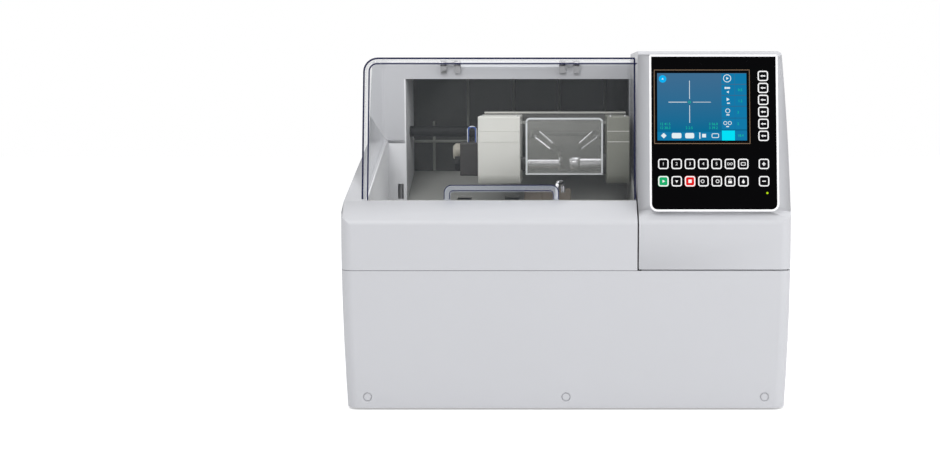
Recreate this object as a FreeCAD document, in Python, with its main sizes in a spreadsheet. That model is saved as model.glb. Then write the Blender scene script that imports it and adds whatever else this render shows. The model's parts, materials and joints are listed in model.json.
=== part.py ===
"""Optical lens edger: a bench machine that grinds the edge of a spectacle lens to shape.

Millimetres. The origin is the centre of the footprint on the table, +X to the operator's right,
+Y to the back and +Z up. The sheet "Sizes" holds every driving dimension.
"""
import FreeCAD, Part
import math
import os
import re
import Sketcher

Vector = FreeCAD.Vector
Placement = FreeCAD.Placement
Rotation = FreeCAD.Rotation

doc = FreeCAD.newDocument("optical_lens_edger")
sheet = doc.addObject("Spreadsheet::Sheet", "Sizes")
names = []
pieces = []


# Sizes and expressions

def sizes(**values):
    """Add named sizes to the sheet: plain numbers, or formulas of names already there."""
    for name, value in values.items():
        names.append(name)
        row = len(names)
        sheet.set(f"A{row}", name)
        sheet.set(f"B{row}", f"={value}" if isinstance(value, str) else str(value))
        sheet.setAlias(f"B{row}", name)
    doc.recompute()


def number(expression):
    """The value of an expression of named sizes."""
    return float(sheet.evalExpression(str(expression)))


def bound(expression):
    """The same expression as objects outside the sheet read it."""
    return re.sub(r"[a-z_]+", lambda word: "Sizes." + word[0] if word[0] in names else word[0],
                  str(expression))


def bind(thing, key, expression):
    thing.setExpression(key, bound(expression))


# Sketches

PLANES = {
    "XY": Rotation(),
    "XZ": Rotation(Vector(1, 0, 0), 90),
    "YZ": Rotation(Vector(1, 1, 1), 120),
    "ZX": Rotation(Vector(1, 1, 1), 240),
}
NORMALS = {"XY": Vector(0, 0, 1), "XZ": Vector(0, 1, 0), "YZ": Vector(1, 0, 0)}
AXES = {"X": Vector(1, 0, 0), "Y": Vector(0, 1, 0), "Z": Vector(0, 0, 1)}
START, END, CENTRE = range(1, 4)


class Drawing:
    """Lines, arcs and rules gathered for one sketch, which solves them all at once."""

    def __init__(self):
        self.shapes, self.guides, self.rules, self.expressions = [], [], [], []

    def add(self, shape, guide=False):
        self.shapes.append(shape)
        if guide:
            self.guides.append(len(self.shapes) - 1)
        return len(self.shapes) - 1

    def rule(self, *terms, expression=None):
        """A constraint; its last value follows an expression where one is given."""
        if expression is not None:
            self.expressions.append((len(self.rules), expression))
            terms += (number(expression),)
        self.rules.append(Sketcher.Constraint(*terms))

    def fix(self, shape, point, place):
        """Hold one point at a place given in named sizes."""
        self.rule("DistanceX", shape, point, expression=place[0])
        self.rule("DistanceY", shape, point, expression=place[1])

    def arc(self, first, middle, last):
        """Add an arc through three points; returns it with its two ends, in the order given."""
        if (middle - first).cross(last - middle).z > 0:
            return self.add(Part.Arc(first, middle, last)), START, END
        return self.add(Part.Arc(last, middle, first)), END, START

    def circle(self, across, up, radius):
        ring = self.add(Part.Circle(Vector(number(across), number(up), 0), AXES["Z"], number(radius)))
        self.fix(ring, CENTRE, (across, up))
        self.rule("Radius", ring, expression=radius)

    def loop(self, corners):
        """A closed outline. A corner is (across, up), with a third value where it is rounded."""
        points = [Vector(number(corner[0]), number(corner[1]), 0) for corner in corners]
        count = len(corners)
        spans = []
        for index, corner in enumerate(corners):
            radius = number(corner[2]) if len(corner) > 2 else 0
            spans.append(rounding(points[index - 1], points[index], points[(index + 1) % count], radius)
                         if radius > 0 else None)
        lines = []
        for index in range(count):
            following = (index + 1) % count
            begin = spans[index][2] if spans[index] else points[index]
            finish = spans[following][0] if spans[following] else points[following]
            lines.append(self.add(Part.LineSegment(begin, finish)))
        for index, corner in enumerate(corners):
            incoming, outgoing = lines[index - 1], lines[index]
            if spans[index] is None:
                self.rule("Coincident", incoming, END, outgoing, START)
                self.fix(outgoing, START, corner[:2])
                continue
            arc, near, far = self.arc(*spans[index])
            self.rule("Tangent", incoming, END, arc, near)
            self.rule("Tangent", arc, far, outgoing, START)
            self.rule("Radius", arc, expression=corner[2])
            tip = self.add(Part.Point(points[index]), guide=True)
            self.rule("PointOnObject", tip, START, incoming)
            self.rule("PointOnObject", tip, START, outgoing)
            self.fix(tip, START, corner[:2])

    def put_on(self, sketch):
        sketch.addGeometry(self.shapes, False)
        for guide in self.guides:
            sketch.toggleConstruction(guide)
        sketch.addConstraint(self.rules)
        for row, expression in self.expressions:
            bind(sketch, f"Constraints[{row}]", expression)


def rounding(before, corner, after, radius):
    """Start, middle and end of the arc that rounds a corner."""
    inward = (before - corner).normalize()
    outward = (after - corner).normalize()
    half = inward.getAngle(outward) / 2
    reach = radius / math.tan(half)
    middle = (inward + outward).normalize() * (radius / math.sin(half) - radius)
    return corner + inward * reach, corner + middle, corner + outward * reach


def draw(sketch, loops):
    """Draw closed loops: lists of corners, and circles as (across, up, radius)."""
    drawing = Drawing()
    for loop in loops:
        if isinstance(loop, tuple):
            drawing.circle(*loop)
        else:
            drawing.loop(loop)
    drawing.put_on(sketch)


def rectangle(left, bottom, right, top, radius="0"):
    return [(left, bottom, radius), (right, bottom, radius), (right, top, radius), (left, top, radius)]


# Solids made of primitives, outlines and booleans

def block(name, across, deep, up):
    """A cuboid between three pairs of coordinates."""
    solid = doc.addObject("Part::Box", name)
    for side, letter, (low, high) in (("Length", "x", across), ("Width", "y", deep), ("Height", "z", up)):
        bind(solid, side, f"({high}) - ({low})")
        bind(solid, f"Placement.Base.{letter}", low)
    return solid


def rod(name, axis, radius, ends, centre):
    """A cylinder between two coordinates on an axis; centre is its place in the other two."""
    solid = doc.addObject("Part::Cylinder", name)
    solid.Placement = Placement(Vector(), Rotation(Vector(0, 0, 1), AXES[axis]))
    bind(solid, "Radius", radius)
    bind(solid, "Height", f"({ends[1]}) - ({ends[0]})")
    places = list(centre)
    for letter in "XYZ":
        bind(solid, f"Placement.Base.{letter.lower()}", ends[0] if letter == axis else places.pop(0))
    return solid


def flat_sketch(name, plane, loops, height="0"):
    sketch = doc.addObject("Sketcher::SketchObject", name)
    sketch.Placement = Placement(Vector(), PLANES[plane])
    draw(sketch, loops)
    letter = {"XY": "z", "XZ": "y", "YZ": "x"}[plane]
    bind(sketch, f"Placement.Base.{letter}", height)
    return sketch


def prism(name, plane, loops, ends):
    """Outlines in a plane, extruded square to it between two coordinates."""
    solid = doc.addObject("Part::Extrusion", name)
    solid.Base = flat_sketch(name + "_outline", plane, loops, ends[0])
    solid.DirMode = "Custom"
    solid.Dir = NORMALS[plane]
    solid.FaceMakerClass = "Part::FaceMakerBullseye"
    solid.Solid = True
    bind(solid, "LengthFwd", f"({ends[1]}) - ({ends[0]})")
    return solid


def turned(name, axis, corners, centre):
    """An outline of (along, radius) corners, turned about an axis through centre."""
    sketch = doc.addObject("Sketcher::SketchObject", name + "_outline")
    plane = {"X": "XZ", "Y": "YZ", "Z": "ZX"}[axis]
    sketch.Placement = Placement(Vector(), PLANES[plane])
    draw(sketch, [corners])
    solid = doc.addObject("Part::Revolution", name)
    solid.Source = sketch
    solid.Axis = AXES[axis]
    solid.Angle = 360
    solid.Solid = True
    others = [letter for letter in "xyz" if letter != axis.lower()]
    for letter, place in zip(others, centre):
        bind(sketch, f"Placement.Base.{letter}", place)
        bind(solid, f"Base.{letter}", place)
    return solid


def fuse(name, *solids):
    whole = doc.addObject("Part::MultiFuse", name)
    whole.Shapes = list(solids)
    return whole


def group(name, *solids):
    """Separate solids kept side by side."""
    whole = doc.addObject("Part::Compound", name)
    whole.Links = list(solids)
    return whole


def cut(name, base, *tools):
    """The base less every tool, one after another."""
    for index, tool in enumerate(tools):
        last = index == len(tools) - 1
        step = doc.addObject("Part::Cut", name if last else f"{name}_step")
        step.Base, step.Tool = base, tool
        base = step
    return base


def common(name, first, second):
    shared = doc.addObject("Part::Common", name)
    shared.Base, shared.Tool = first, second
    return shared


def lies(edge, **limits):
    """Whether an edge lies between limits such as y=("front", "front") on every coordinate named."""
    box = edge.BoundBox
    spans = {"x": (box.XMin, box.XMax), "y": (box.YMin, box.YMax), "z": (box.ZMin, box.ZMax)}
    for letter, (low, high) in limits.items():
        least, most = spans[letter]
        if least < number(low) - TOUCH or most > number(high) + TOUCH:
            return False
    return True


TOUCH = 1e-4


def fillet(name, base, radius, *choices):
    """Round the edges that lie within any of the choices, each a dictionary of limits."""
    doc.recompute()
    solid = doc.addObject("Part::Fillet", name)
    solid.Base = base
    chosen = []
    for index, edge in enumerate(base.Shape.Edges, 1):
        if any(lies(edge, **choice) for choice in choices):
            chosen.append((index, number(radius), number(radius)))
    if not chosen:
        raise ValueError(f"{name} rounds no edge")
    solid.Edges = chosen
    return solid


# Solids made as bodies

def new_body(name):
    return doc.addObject("PartDesign::Body", name)


def body_sketch(body, name, plane, loops, offset="0"):
    """A sketch on one of the body's own planes; a positive offset is along the plane's normal."""
    sketch = body.newObject("Sketcher::SketchObject", name)
    support = next(part for part in body.Origin.OriginFeatures if part.Role == plane + "_Plane")
    sketch.AttachmentSupport = (support, [""])
    sketch.MapMode = "FlatFace"
    bind(sketch, "AttachmentOffset.Base.z", offset)
    draw(sketch, loops)
    return sketch


def pad(body, name, plane, loops, length, offset="0", reverse=False):
    """Add an outline's extrusion to a body."""
    feature = body.newObject("PartDesign::Pad", name)
    feature.Profile = body_sketch(body, name + "_outline", plane, loops, offset)
    feature.Reversed = reverse
    bind(feature, "Length", length)
    return feature


def pocket(body, name, plane, loops, depth, offset="0", reverse=False):
    """Take an outline's extrusion out of a body; it runs against the plane's normal."""
    doc.recompute()
    before = body.Shape.Volume
    feature = body.newObject("PartDesign::Pocket", name)
    feature.Profile = body_sketch(body, name + "_outline", plane, loops, offset)
    feature.Reversed = reverse
    bind(feature, "Length", depth)
    doc.recompute()
    if body.Shape.Volume > before - TOUCH:
        raise ValueError(f"{name} takes nothing away")
    return feature


def repeat(body, name, feature, axis, pitch, count):
    """Repeat a feature at a pitch along one of the body's own axes."""
    pattern = body.newObject("PartDesign::LinearPattern", name)
    pattern.Originals = [feature]
    line = next(part for part in body.Origin.OriginFeatures if part.Role == axis + "_Axis")
    pattern.Direction = (line, [""])
    pattern.Mode = "Spacing"
    bind(pattern, "Offset", pitch)
    bind(pattern, "Occurrences", count)
    body.Tip = pattern
    return pattern


def keep(solid, node):
    """Name a finished piece; the name is also its file's name."""
    solid.Label = node
    pieces.append(solid)
    return solid


# Overall sizes

WIDTH = 580
DEPTH = 484
HEIGHT = 463
sizes(
    body_width=WIDTH,
    body_depth=DEPTH,
    waist_height=200,
    base_inset=5.5,
    top_inset=10,
    skirt_height=3,
    seam_height=182,
    shoulder_height=246,
    apron_height=268.5,
    apron_setback=35,
    ledge_rise=70.5,
    tower_setback=265,
    tower_height=452,
    console_height=HEIGHT,
    console_offset=93.5,
    joint_gap=2,
    housing_wall=3.5,
    shoulder_width=28,
    opening_frame=27,
    opening_top=427.5,
    rear_fitting=14,
    overrun=5,
    fit_gap=0.3,
    running_gap=0.05,
)
sizes(
    half_width="body_width / 2",
    front="-body_depth / 2",
    back="body_depth / 2 - rear_fitting",
    apron_back="front + apron_setback",
    tower_front="front + tower_setback",
    ledge_slope="ledge_rise / (tower_front - apron_back)",
    ledge_top="apron_height + ledge_rise",
    chamber_left="-half_width + shoulder_width",
    chamber_right="console_offset - joint_gap",
    opening_left="chamber_left + opening_frame",
)


def ledge(deep):
    """Height of the sloping ledge that carries the hood, at a depth."""
    return f"(apron_height + ledge_slope * (({deep}) - apron_back))"


def bowed_form(name, inset, deep, up):
    """The machine's bowed front outline, drawn in by an inset, between two depths and two heights."""
    sketch = doc.addObject("Sketcher::SketchObject", name + "_outline")
    sketch.Placement = Placement(Vector(), PLANES["XZ"])
    bottom = f"half_width - base_inset - ({inset})"
    waist = f"half_width - ({inset})"
    top = f"half_width - top_inset - ({inset})"
    low, middle, high = number("skirt_height"), number("waist_height"), number("console_height")
    drawing = Drawing()
    sides = []
    for sign in ("", "-"):
        ends = [(f"{sign}({bottom})", "skirt_height"), (f"{sign}({waist})", "waist_height"),
                (f"{sign}({top})", "console_height")]
        points = [Vector(number(across), height, 0) for (across, _), height in zip(ends, (low, middle, high))]
        arc, foot, head = drawing.arc(*points)
        drawing.fix(arc, foot, ends[0])
        drawing.fix(arc, head, ends[2])
        tip = drawing.add(Part.Point(points[1]), guide=True)
        drawing.fix(tip, START, ends[1])
        drawing.rule("PointOnObject", tip, START, arc)
        sides.append((arc, foot, head, points))
    (right, right_foot, right_head, right_points), (left, left_foot, left_head, left_points) = sides
    base = drawing.add(Part.LineSegment(left_points[0], right_points[0]))
    roof = drawing.add(Part.LineSegment(right_points[2], left_points[2]))
    for line, point, arc, end in ((base, START, left, left_foot), (base, END, right, right_foot),
                                  (roof, START, right, right_head), (roof, END, left, left_head)):
        drawing.rule("Coincident", line, point, arc, end)
    drawing.put_on(sketch)
    bind(sketch, "Placement.Base.y", deep[0])
    form = doc.addObject("Part::Extrusion", name + "_bar")
    form.Base = sketch
    form.DirMode = "Custom"
    form.Dir = NORMALS["XZ"]
    form.FaceMakerClass = "Part::FaceMakerBullseye"
    form.Solid = True
    bind(form, "LengthFwd", f"({deep[1]}) - ({deep[0]})")
    band = block(name + "_band", ("-half_width - overrun", "half_width + overrun"), deep, up)
    return common(name, form, band)


# Base pan and feet

sizes(foot_radius=14, foot_height=10, foot_chamfer=1.5, foot_inset=45,
      pan_thickness=2, pan_rim=18, pan_corner=14, pan_gap=0.5)
sizes(pan_top="foot_height + pan_thickness",
      pan_half="half_width - base_inset - housing_wall - pan_gap",
      pan_front="front + housing_wall + pan_gap",
      pan_back="back - housing_wall - pan_gap",
      foot_side="half_width - foot_inset",
      foot_front="front + foot_inset",
      foot_back="back - foot_inset")


def make_feet():
    feet = []
    for across in ("-foot_side", "foot_side"):
        for deep in ("foot_front", "foot_back"):
            feet.append(turned("foot", "Z", [("0", "0"), ("0", "foot_radius - foot_chamfer"),
                                             ("foot_chamfer", "foot_radius"), ("foot_height", "foot_radius"),
                                             ("foot_height", "0")], (across, deep)))
    keep(group("feet_set", *feet), "feet")


def make_base_pan():
    body = new_body("base_pan_body")
    pad(body, "pan_outer", "XY", [rectangle("-pan_half", "pan_front", "pan_half", "pan_back", "pan_corner")],
        "pan_rim", "foot_height")
    pocket(body, "pan_inner", "XY",
           [rectangle("-pan_half + pan_thickness", "pan_front + pan_thickness", "pan_half - pan_thickness",
                      "pan_back - pan_thickness", "pan_corner - pan_thickness")],
           "pan_rim - pan_thickness", "foot_height + pan_rim")
    keep(body, "base_pan")


# Lower housing

sizes(corner_radius=16, rear_corner_radius=8, seat_flange=9, flange_thickness=3,
      tongue_thickness=2, tongue_rise=4, tongue_root=8, plug_radius=6, plug_ring=1.6, plug_depth=1.2,
      plug_height=17.5, plug_spacing=257)
sizes(flange_base="foot_height + pan_rim", panel_cutout_half=170, panel_cutout_base=36, panel_cutout_top=168)


def corner_choices(deep, up):
    """The two curved corner edges of a bowed form at one depth."""
    sides = (("-half_width - overrun", "-half_width + shoulder_width"),
             ("half_width - shoulder_width", "half_width + overrun"))
    return [{"x": side, "y": (deep, deep), "z": up} for side in sides]


def bowed_shell_form(name, inset, up):
    """A bowed form with rounded corners, drawn in by an inset on every side."""
    form = bowed_form(name + "_form", inset, (f"front + ({inset})", f"back - ({inset})"), up)
    eased = fillet(name + "_front_eased", form, f"corner_radius - ({inset})",
                   *corner_choices(f"front + ({inset})", up))
    return fillet(name, eased, f"rear_corner_radius - ({inset})", *corner_choices(f"back - ({inset})", up))


def make_lower_housing():
    up = ("skirt_height", "seam_height")
    skin = bowed_shell_form("lower_skin", "0", up)
    hollow = bowed_shell_form("lower_hollow", "housing_wall", ("skirt_height", "seam_height"))
    ring = prism("lower_flange_ring", "XY",
                 [rectangle("-half_width", "front", "half_width", "back"),
                  rectangle("-pan_half + seat_flange", "pan_front + seat_flange", "pan_half - seat_flange",
                            "pan_back - seat_flange", "pan_corner")],
                 ("flange_base", "flange_base + flange_thickness"))
    cavity = cut("lower_cavity", hollow, ring)
    shell = cut("lower_shell", skin, cavity)
    rings = []
    for name, outer, top in (("tongue_root_ring", "housing_wall - fit_gap", "seam_height - joint_gap / 4"),
                             ("tongue_ring", "housing_wall + fit_gap", "seam_height + tongue_rise")):
        band = ("seam_height - tongue_root", top)
        rings.append(cut(name, bowed_shell_form(name + "_outer", outer, band),
                         bowed_shell_form(name + "_inner", "housing_wall + fit_gap + tongue_thickness",
                                          band)))
    above = ("seam_height - joint_gap / 4", "seam_height + tongue_rise + overrun")
    notches = [block("tongue_front_notch",
                     ("chamber_right - fit_gap", "console_offset + housing_wall + fit_gap"),
                     ("front + housing_wall", "front + corner_radius"), above),
               block("tongue_side_notch", ("half_width - shoulder_width", "half_width"),
                     ("tower_front - fit_gap", "wall_back + fit_gap"), above)]
    walled = fuse("lower_walled", shell, rings[0], cut("tongue_notched", rings[1], *notches))
    grooves = []
    for across in ("-plug_spacing", "0", "plug_spacing"):
        outer = rod("plug_groove", "Y", "plug_radius", ("front - overrun", "front + plug_depth"),
                    (across, "plug_height"))
        inner = rod("plug_face", "Y", "plug_radius - plug_ring",
                    ("front - overrun - overrun", "front + plug_depth + overrun"),
                    (across, "plug_height"))
        grooves.append(cut("plug_ring", outer, inner))
    window = block("lower_rear_window", ("-panel_cutout_half", "panel_cutout_half"),
                   ("back - housing_wall - overrun", "back + overrun"),
                   ("panel_cutout_base", "panel_cutout_top"))
    keep(cut("lower_housing_moulding", walled, *grooves, window), "lower_housing")


# Upper housing with the rear tower

sizes(shoulder_radius=11, tower_radius=6, frame_slot_inset=16, frame_slot_base=253, frame_slot_top=275)
sizes(frame_slot_left="chamber_left + frame_slot_inset")


def side_outline(inset):
    """The side outline of the upper housing, drawn in by an inset."""
    return [(f"front + ({inset})", "seam_height"),
            (f"front + ({inset})", f"shoulder_height - ({inset})", "shoulder_radius"),
            (f"apron_back", f"apron_height - ({inset}) * 1.04"),
            (f"tower_front + ({inset})", f"ledge_top - ({inset}) * 1.04"),
            (f"tower_front + ({inset})", f"tower_height - ({inset})", f"tower_radius - ({inset})"),
            (f"back - ({inset})", f"tower_height - ({inset})", f"tower_radius - ({inset})"),
            (f"back - ({inset})", "seam_height")]


def make_upper_housing():
    up = ("seam_height", "console_height")
    outer_form = bowed_shell_form("upper_skin", "0", up)
    outer_side = prism("upper_side", "YZ", [side_outline("0")],
                       ("-half_width - overrun", "half_width + overrun"))
    outer = common("upper_outer", outer_form, outer_side)
    bay = block("console_bay", ("chamber_right", "half_width + overrun"), ("front - overrun", "tower_front"),
                ("seam_height - overrun", "console_height + overrun"))
    skin = cut("upper_skin_less_bay", outer, bay)
    inner_form = bowed_shell_form("upper_hollow", "housing_wall", up)
    inner_side = prism("upper_inner_side", "YZ", [side_outline("housing_wall")],
                       ("-half_width - overrun", "half_width + overrun"))
    inner = common("upper_inner", inner_form, inner_side)
    inner_bay = block("console_bay_wall", ("chamber_right", "half_width + overrun"),
                      ("front - overrun", "tower_front + housing_wall"),
                      ("seam_height - overrun", "console_height + overrun"))
    hollow = cut("upper_hollow_less_bay", inner, inner_bay)
    shell = cut("upper_shell", skin, hollow)
    hatch = block("chamber_hatch", ("chamber_left", "chamber_right + overrun"),
                  ("apron_back + housing_wall", "tower_front"),
                  ("seam_height - overrun", "tower_height + overrun"))
    doorway = block("chamber_doorway", ("opening_left", "chamber_right"),
                    ("tower_front - overrun", "wall_back + overrun"),
                    (f"{floor_at('tower_front')} - tray_wall - fit_gap", "opening_top"))
    slot = block("frame_slot", ("frame_slot_left", "opening_left - tray_wall"),
                 ("tower_front - overrun", "wall_back + overrun"), ("frame_slot_base", "frame_slot_top"))
    keep(cut("upper_housing_moulding", shell, hatch, doorway, slot), "upper_housing")


# Frames of the tilted faces

def tilted_body(name, deep, up, tilt):
    """A body whose X runs across, Y up along a face that leans back by a tilt, and Z out of it."""
    body = new_body(name)
    body.Placement = Placement(Vector(), Rotation(Vector(1, 0, 0), number("square_angle")))
    bind(body, "Placement.Base.y", deep)
    bind(body, "Placement.Base.z", up)
    bind(body, "Placement.Rotation.Angle", f"square_angle - ({tilt})")
    return body


# Console housing: the upright box on the right with the tilted panel frame

sizes(square_angle=90, panel_tilt=11, panel_setback=4.5, panel_foot=260.7, panel_inset=16.3,
      panel_width=160.7,
      panel_length=198.5, frame_rim=2.5, frame_lip=0.8, frame_depth=12, frame_corner=10, frame_top_corner=2,
      overlay_thickness=1, window_ledge=3, console_edge_radius=6, console_side_radius=3)
sizes(panel_deep="front + panel_setback",
      panel_left="console_offset + panel_inset",
      panel_right="panel_left + panel_width",
      panel_sine="sin(panel_tilt)",
      panel_cosine="cos(panel_tilt)",
      console_base="seam_height + joint_gap",
      console_back="tower_front - fit_gap")


def console_outline(inset):
    """The console's side outline, drawn in by an inset."""
    behind = f"(frame_depth + ({inset}))"
    foot = (f"panel_deep + {behind} * panel_cosine", f"panel_foot - {behind} * panel_sine")
    rise = f"(console_height - ({inset}) - ({foot[1]}))"
    return [(f"front + ({inset})", "console_base"),
            (f"front + ({inset})", f"shoulder_height - ({inset})", "shoulder_radius"),
            foot,
            (f"{foot[0]} + {rise} * panel_sine / panel_cosine", f"console_height - ({inset})"),
            ("console_back", f"console_height - ({inset})"),
            ("console_back", "console_base")]


def frame_outline(inset, top_corner):
    """The panel frame's outline on the tilted face: generous lower corners and tight upper ones."""
    low, high = f"-frame_rim + ({inset})", f"panel_length + frame_rim - ({inset})"
    left, right = f"panel_left - frame_rim + ({inset})", f"panel_right + frame_rim - ({inset})"
    return [(left, low, f"frame_corner - ({inset})"), (right, low, f"frame_corner - ({inset})"),
            (right, high, top_corner), (left, high, top_corner)]


def make_console_housing():
    up = ("console_base", "console_height")
    skin_form = bowed_shell_form("console_skin", "0", up)
    side = prism("console_side", "YZ", [console_outline("0")],
                 ("console_offset", "half_width + overrun"))
    skin = common("console_outer", skin_form, side)
    eased = fillet("console_eased", skin, "console_edge_radius",
                   {"z": ("console_height", "console_height"),
                    "x": ("console_offset + overrun", "half_width")},
                   {"z": ("console_height", "console_height"),
                    "y": ("panel_deep", "console_back - overrun")},)
    hollow_form = bowed_shell_form("console_hollow", "housing_wall", up)
    hollow_side = prism("console_hollow_side", "YZ", [console_outline("housing_wall")],
                        ("console_offset + housing_wall", "half_width"))
    hollow = common("console_inner", hollow_form, hollow_side)
    shell = cut("console_shell", eased, hollow)
    frame = tilted_body("panel_frame", "panel_deep", "panel_foot", "panel_tilt")
    pad(frame, "frame_block", "XY", [frame_outline("0", "frame_top_corner")],
        "frame_depth + frame_lip + fit_gap", "-frame_depth - fit_gap")
    seat = tilted_body("overlay_seat", "panel_deep", "panel_foot", "panel_tilt")
    pad(seat, "seat_block", "XY", [frame_outline("frame_rim", "0")], "overlay_thickness + overrun",
        "-overlay_thickness")
    window = tilted_body("panel_window", "panel_deep", "panel_foot", "panel_tilt")
    pad(window, "window_block", "XY",
        [rectangle("panel_left + window_ledge", "window_ledge", "panel_right - window_ledge",
                   "panel_length - window_ledge", "frame_corner - window_ledge")],
        "frame_depth + housing_wall * 3 + overrun", "-frame_depth - housing_wall * 3")
    notch_top = rod("spindle_notch_top", "X", "spindle_notch",
                    ("console_offset - overrun", "console_offset + housing_wall + overrun"),
                    ("wheel_deep", "wheel_height"))
    notch = block("spindle_notch_slot", ("console_offset - overrun",
                                         "console_offset + housing_wall + overrun"),
                  ("wheel_deep - spindle_notch", "wheel_deep + spindle_notch"),
                  ("console_base - overrun", "wheel_height"))
    whole = fuse("console_with_frame", shell, frame)
    keep(cut("console_moulding", whole, seat, window, notch_top, notch), "console_housing")


# Membrane overlay, keys, screen and board, all in the panel's own frame

sizes(key_width=13.8, key_corner=3, key_rise=0.5, key_skirt=2, key_stem=3, key_travel=0.5, key_gap=0.2,
      key_left=15, key_pitch=17.08, row_keys=7, column_keys=6, key_row_low=36.4, key_row_high=58.8,
      column_inset=16.7,
      column_low=95.1, column_pitch=15.6, screen_left=7.7, screen_low=89.2, screen_width=115.2,
      screen_height=87.8,
      screen_border=3.9, screen_depth=9, board_thickness=1.6, lamp_inset=12.6, lamp_up=21.3, lamp_radius=2.5)
sizes(screen_start="panel_left + screen_left",
      screen_end="screen_start + screen_width",
      screen_top="screen_low + screen_height",
      board_front="-overlay_thickness - screen_depth",
      column_across="panel_right - column_inset")


def key_places():
    """Node name and centre of every key."""
    places = []
    for row, (up, row_name) in enumerate((("key_row_high", "upper"), ("key_row_low", "lower"))):
        for index in range(int(number("row_keys"))):
            places.append((f"key_{row_name}_{index + 1}", f"panel_left + key_left + key_pitch * {index}", up))
    count = int(number("column_keys"))
    for index in range(count):
        places.append((f"key_side_{index + 1}", "column_across",
                       f"column_low + column_pitch * {count - index - 1}"))
    places.append(("key_plus", "column_across", "key_row_high"))
    places.append(("key_minus", "column_across", "key_row_low"))
    return places


def key_square(across, up, spare):
    half = f"(key_width / 2 + {spare})"
    return rectangle(f"{across} - {half}", f"{up} - {half}", f"{across} + {half}", f"{up} + {half}",
                     f"key_corner + {spare}")


def make_overlay():
    body = tilted_body("overlay_body", "panel_deep", "panel_foot", "panel_tilt")
    pad(body, "overlay_sheet", "XY", [frame_outline("frame_rim + key_gap / 2", "0")], "overlay_thickness",
        "-overlay_thickness")
    depth = ("overlay_thickness + overrun", "overrun / 2")
    for row, up in (("upper", "key_row_high"), ("lower", "key_row_low")):
        hole = pocket(body, row + "_key_hole", "XY", [key_square("panel_left + key_left", up, "key_gap")],
                      *depth)
        repeat(body, row + "_key_holes", hole, "X", "key_pitch", "row_keys")
        pocket(body, row + "_end_key_hole", "XY", [key_square("column_across", up, "key_gap")], *depth)
    hole = pocket(body, "side_key_hole", "XY", [key_square("column_across", "column_low", "key_gap")], *depth)
    repeat(body, "side_key_holes", hole, "Y", "column_pitch", "column_keys")
    pocket(body, "screen_and_lamp_holes", "XY",
           [rectangle("screen_start", "screen_low", "screen_end", "screen_top"),
            ("panel_right - lamp_inset", "lamp_up", "lamp_radius")], *depth)
    keep(body, "overlay")


def make_keys():
    for node, across, up in key_places():
        body = tilted_body(node + "_body", "panel_deep", "panel_foot", "panel_tilt")
        pad(body, "cap", "XY", [key_square(across, up, "0")], "key_rise + key_skirt", "-key_skirt")
        pad(body, "stem", "XY", [(across, up, "key_stem")],
            "-key_skirt - board_front - key_travel - key_gap", "board_front + key_travel + key_gap")
        keep(body, node)


def make_screen():
    body = tilted_body("screen_body", "panel_deep", "panel_foot", "panel_tilt")
    pad(body, "screen_case", "XY",
        [rectangle("screen_start - screen_border", "screen_low - screen_border", "screen_end + screen_border",
                   "screen_top + screen_border")], "screen_depth", "board_front")
    keep(body, "screen")


def make_control_board():
    body = tilted_body("board_body", "panel_deep", "panel_foot", "panel_tilt")
    pad(body, "board_sheet", "XY",
        [rectangle("panel_left + window_ledge + fit_gap", "window_ledge + fit_gap",
                   "panel_right - window_ledge - fit_gap",
                   "panel_length - window_ledge - fit_gap", "frame_corner - window_ledge")],
        "board_thickness", "board_front - board_thickness")
    keep(body, "control_board")


# Drip tray: the chamber's floor with the wheel well

sizes(wheel_setback=182, wheel_height=225, tray_wall=2.5, floor_height=236, floor_break_setback=232,
      rear_floor_rise=51,
      chamber_depth=108, well_left=-72, well_front_gap=66, well_back_gap=66, well_base=160, rim_drop=0.5,
      drain_radius=12, drain_wall=3, drain_length=16, slot_width=21, slot_depth=12, slot_start=-160,
      slot_pitch=70,
      spindle_housing_radius=25)
sizes(wheel_deep="front + wheel_setback",
      spindle_notch="spindle_housing_radius + joint_gap",
      tray_front="apron_back + housing_wall + fit_gap",
      tray_left="chamber_left + fit_gap",
      tray_right="chamber_right - fit_gap",
      floor_break="front + floor_break_setback",
      liner_back="tower_front + chamber_depth",
      floor_slope="rear_floor_rise / (liner_back - floor_break)",
      well_front="wheel_deep - well_front_gap",
      well_back="wheel_deep + well_back_gap",
      wall_back="tower_front + housing_wall")


def floor_at(deep):
    return f"(floor_height + floor_slope * (({deep}) - floor_break))"


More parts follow.
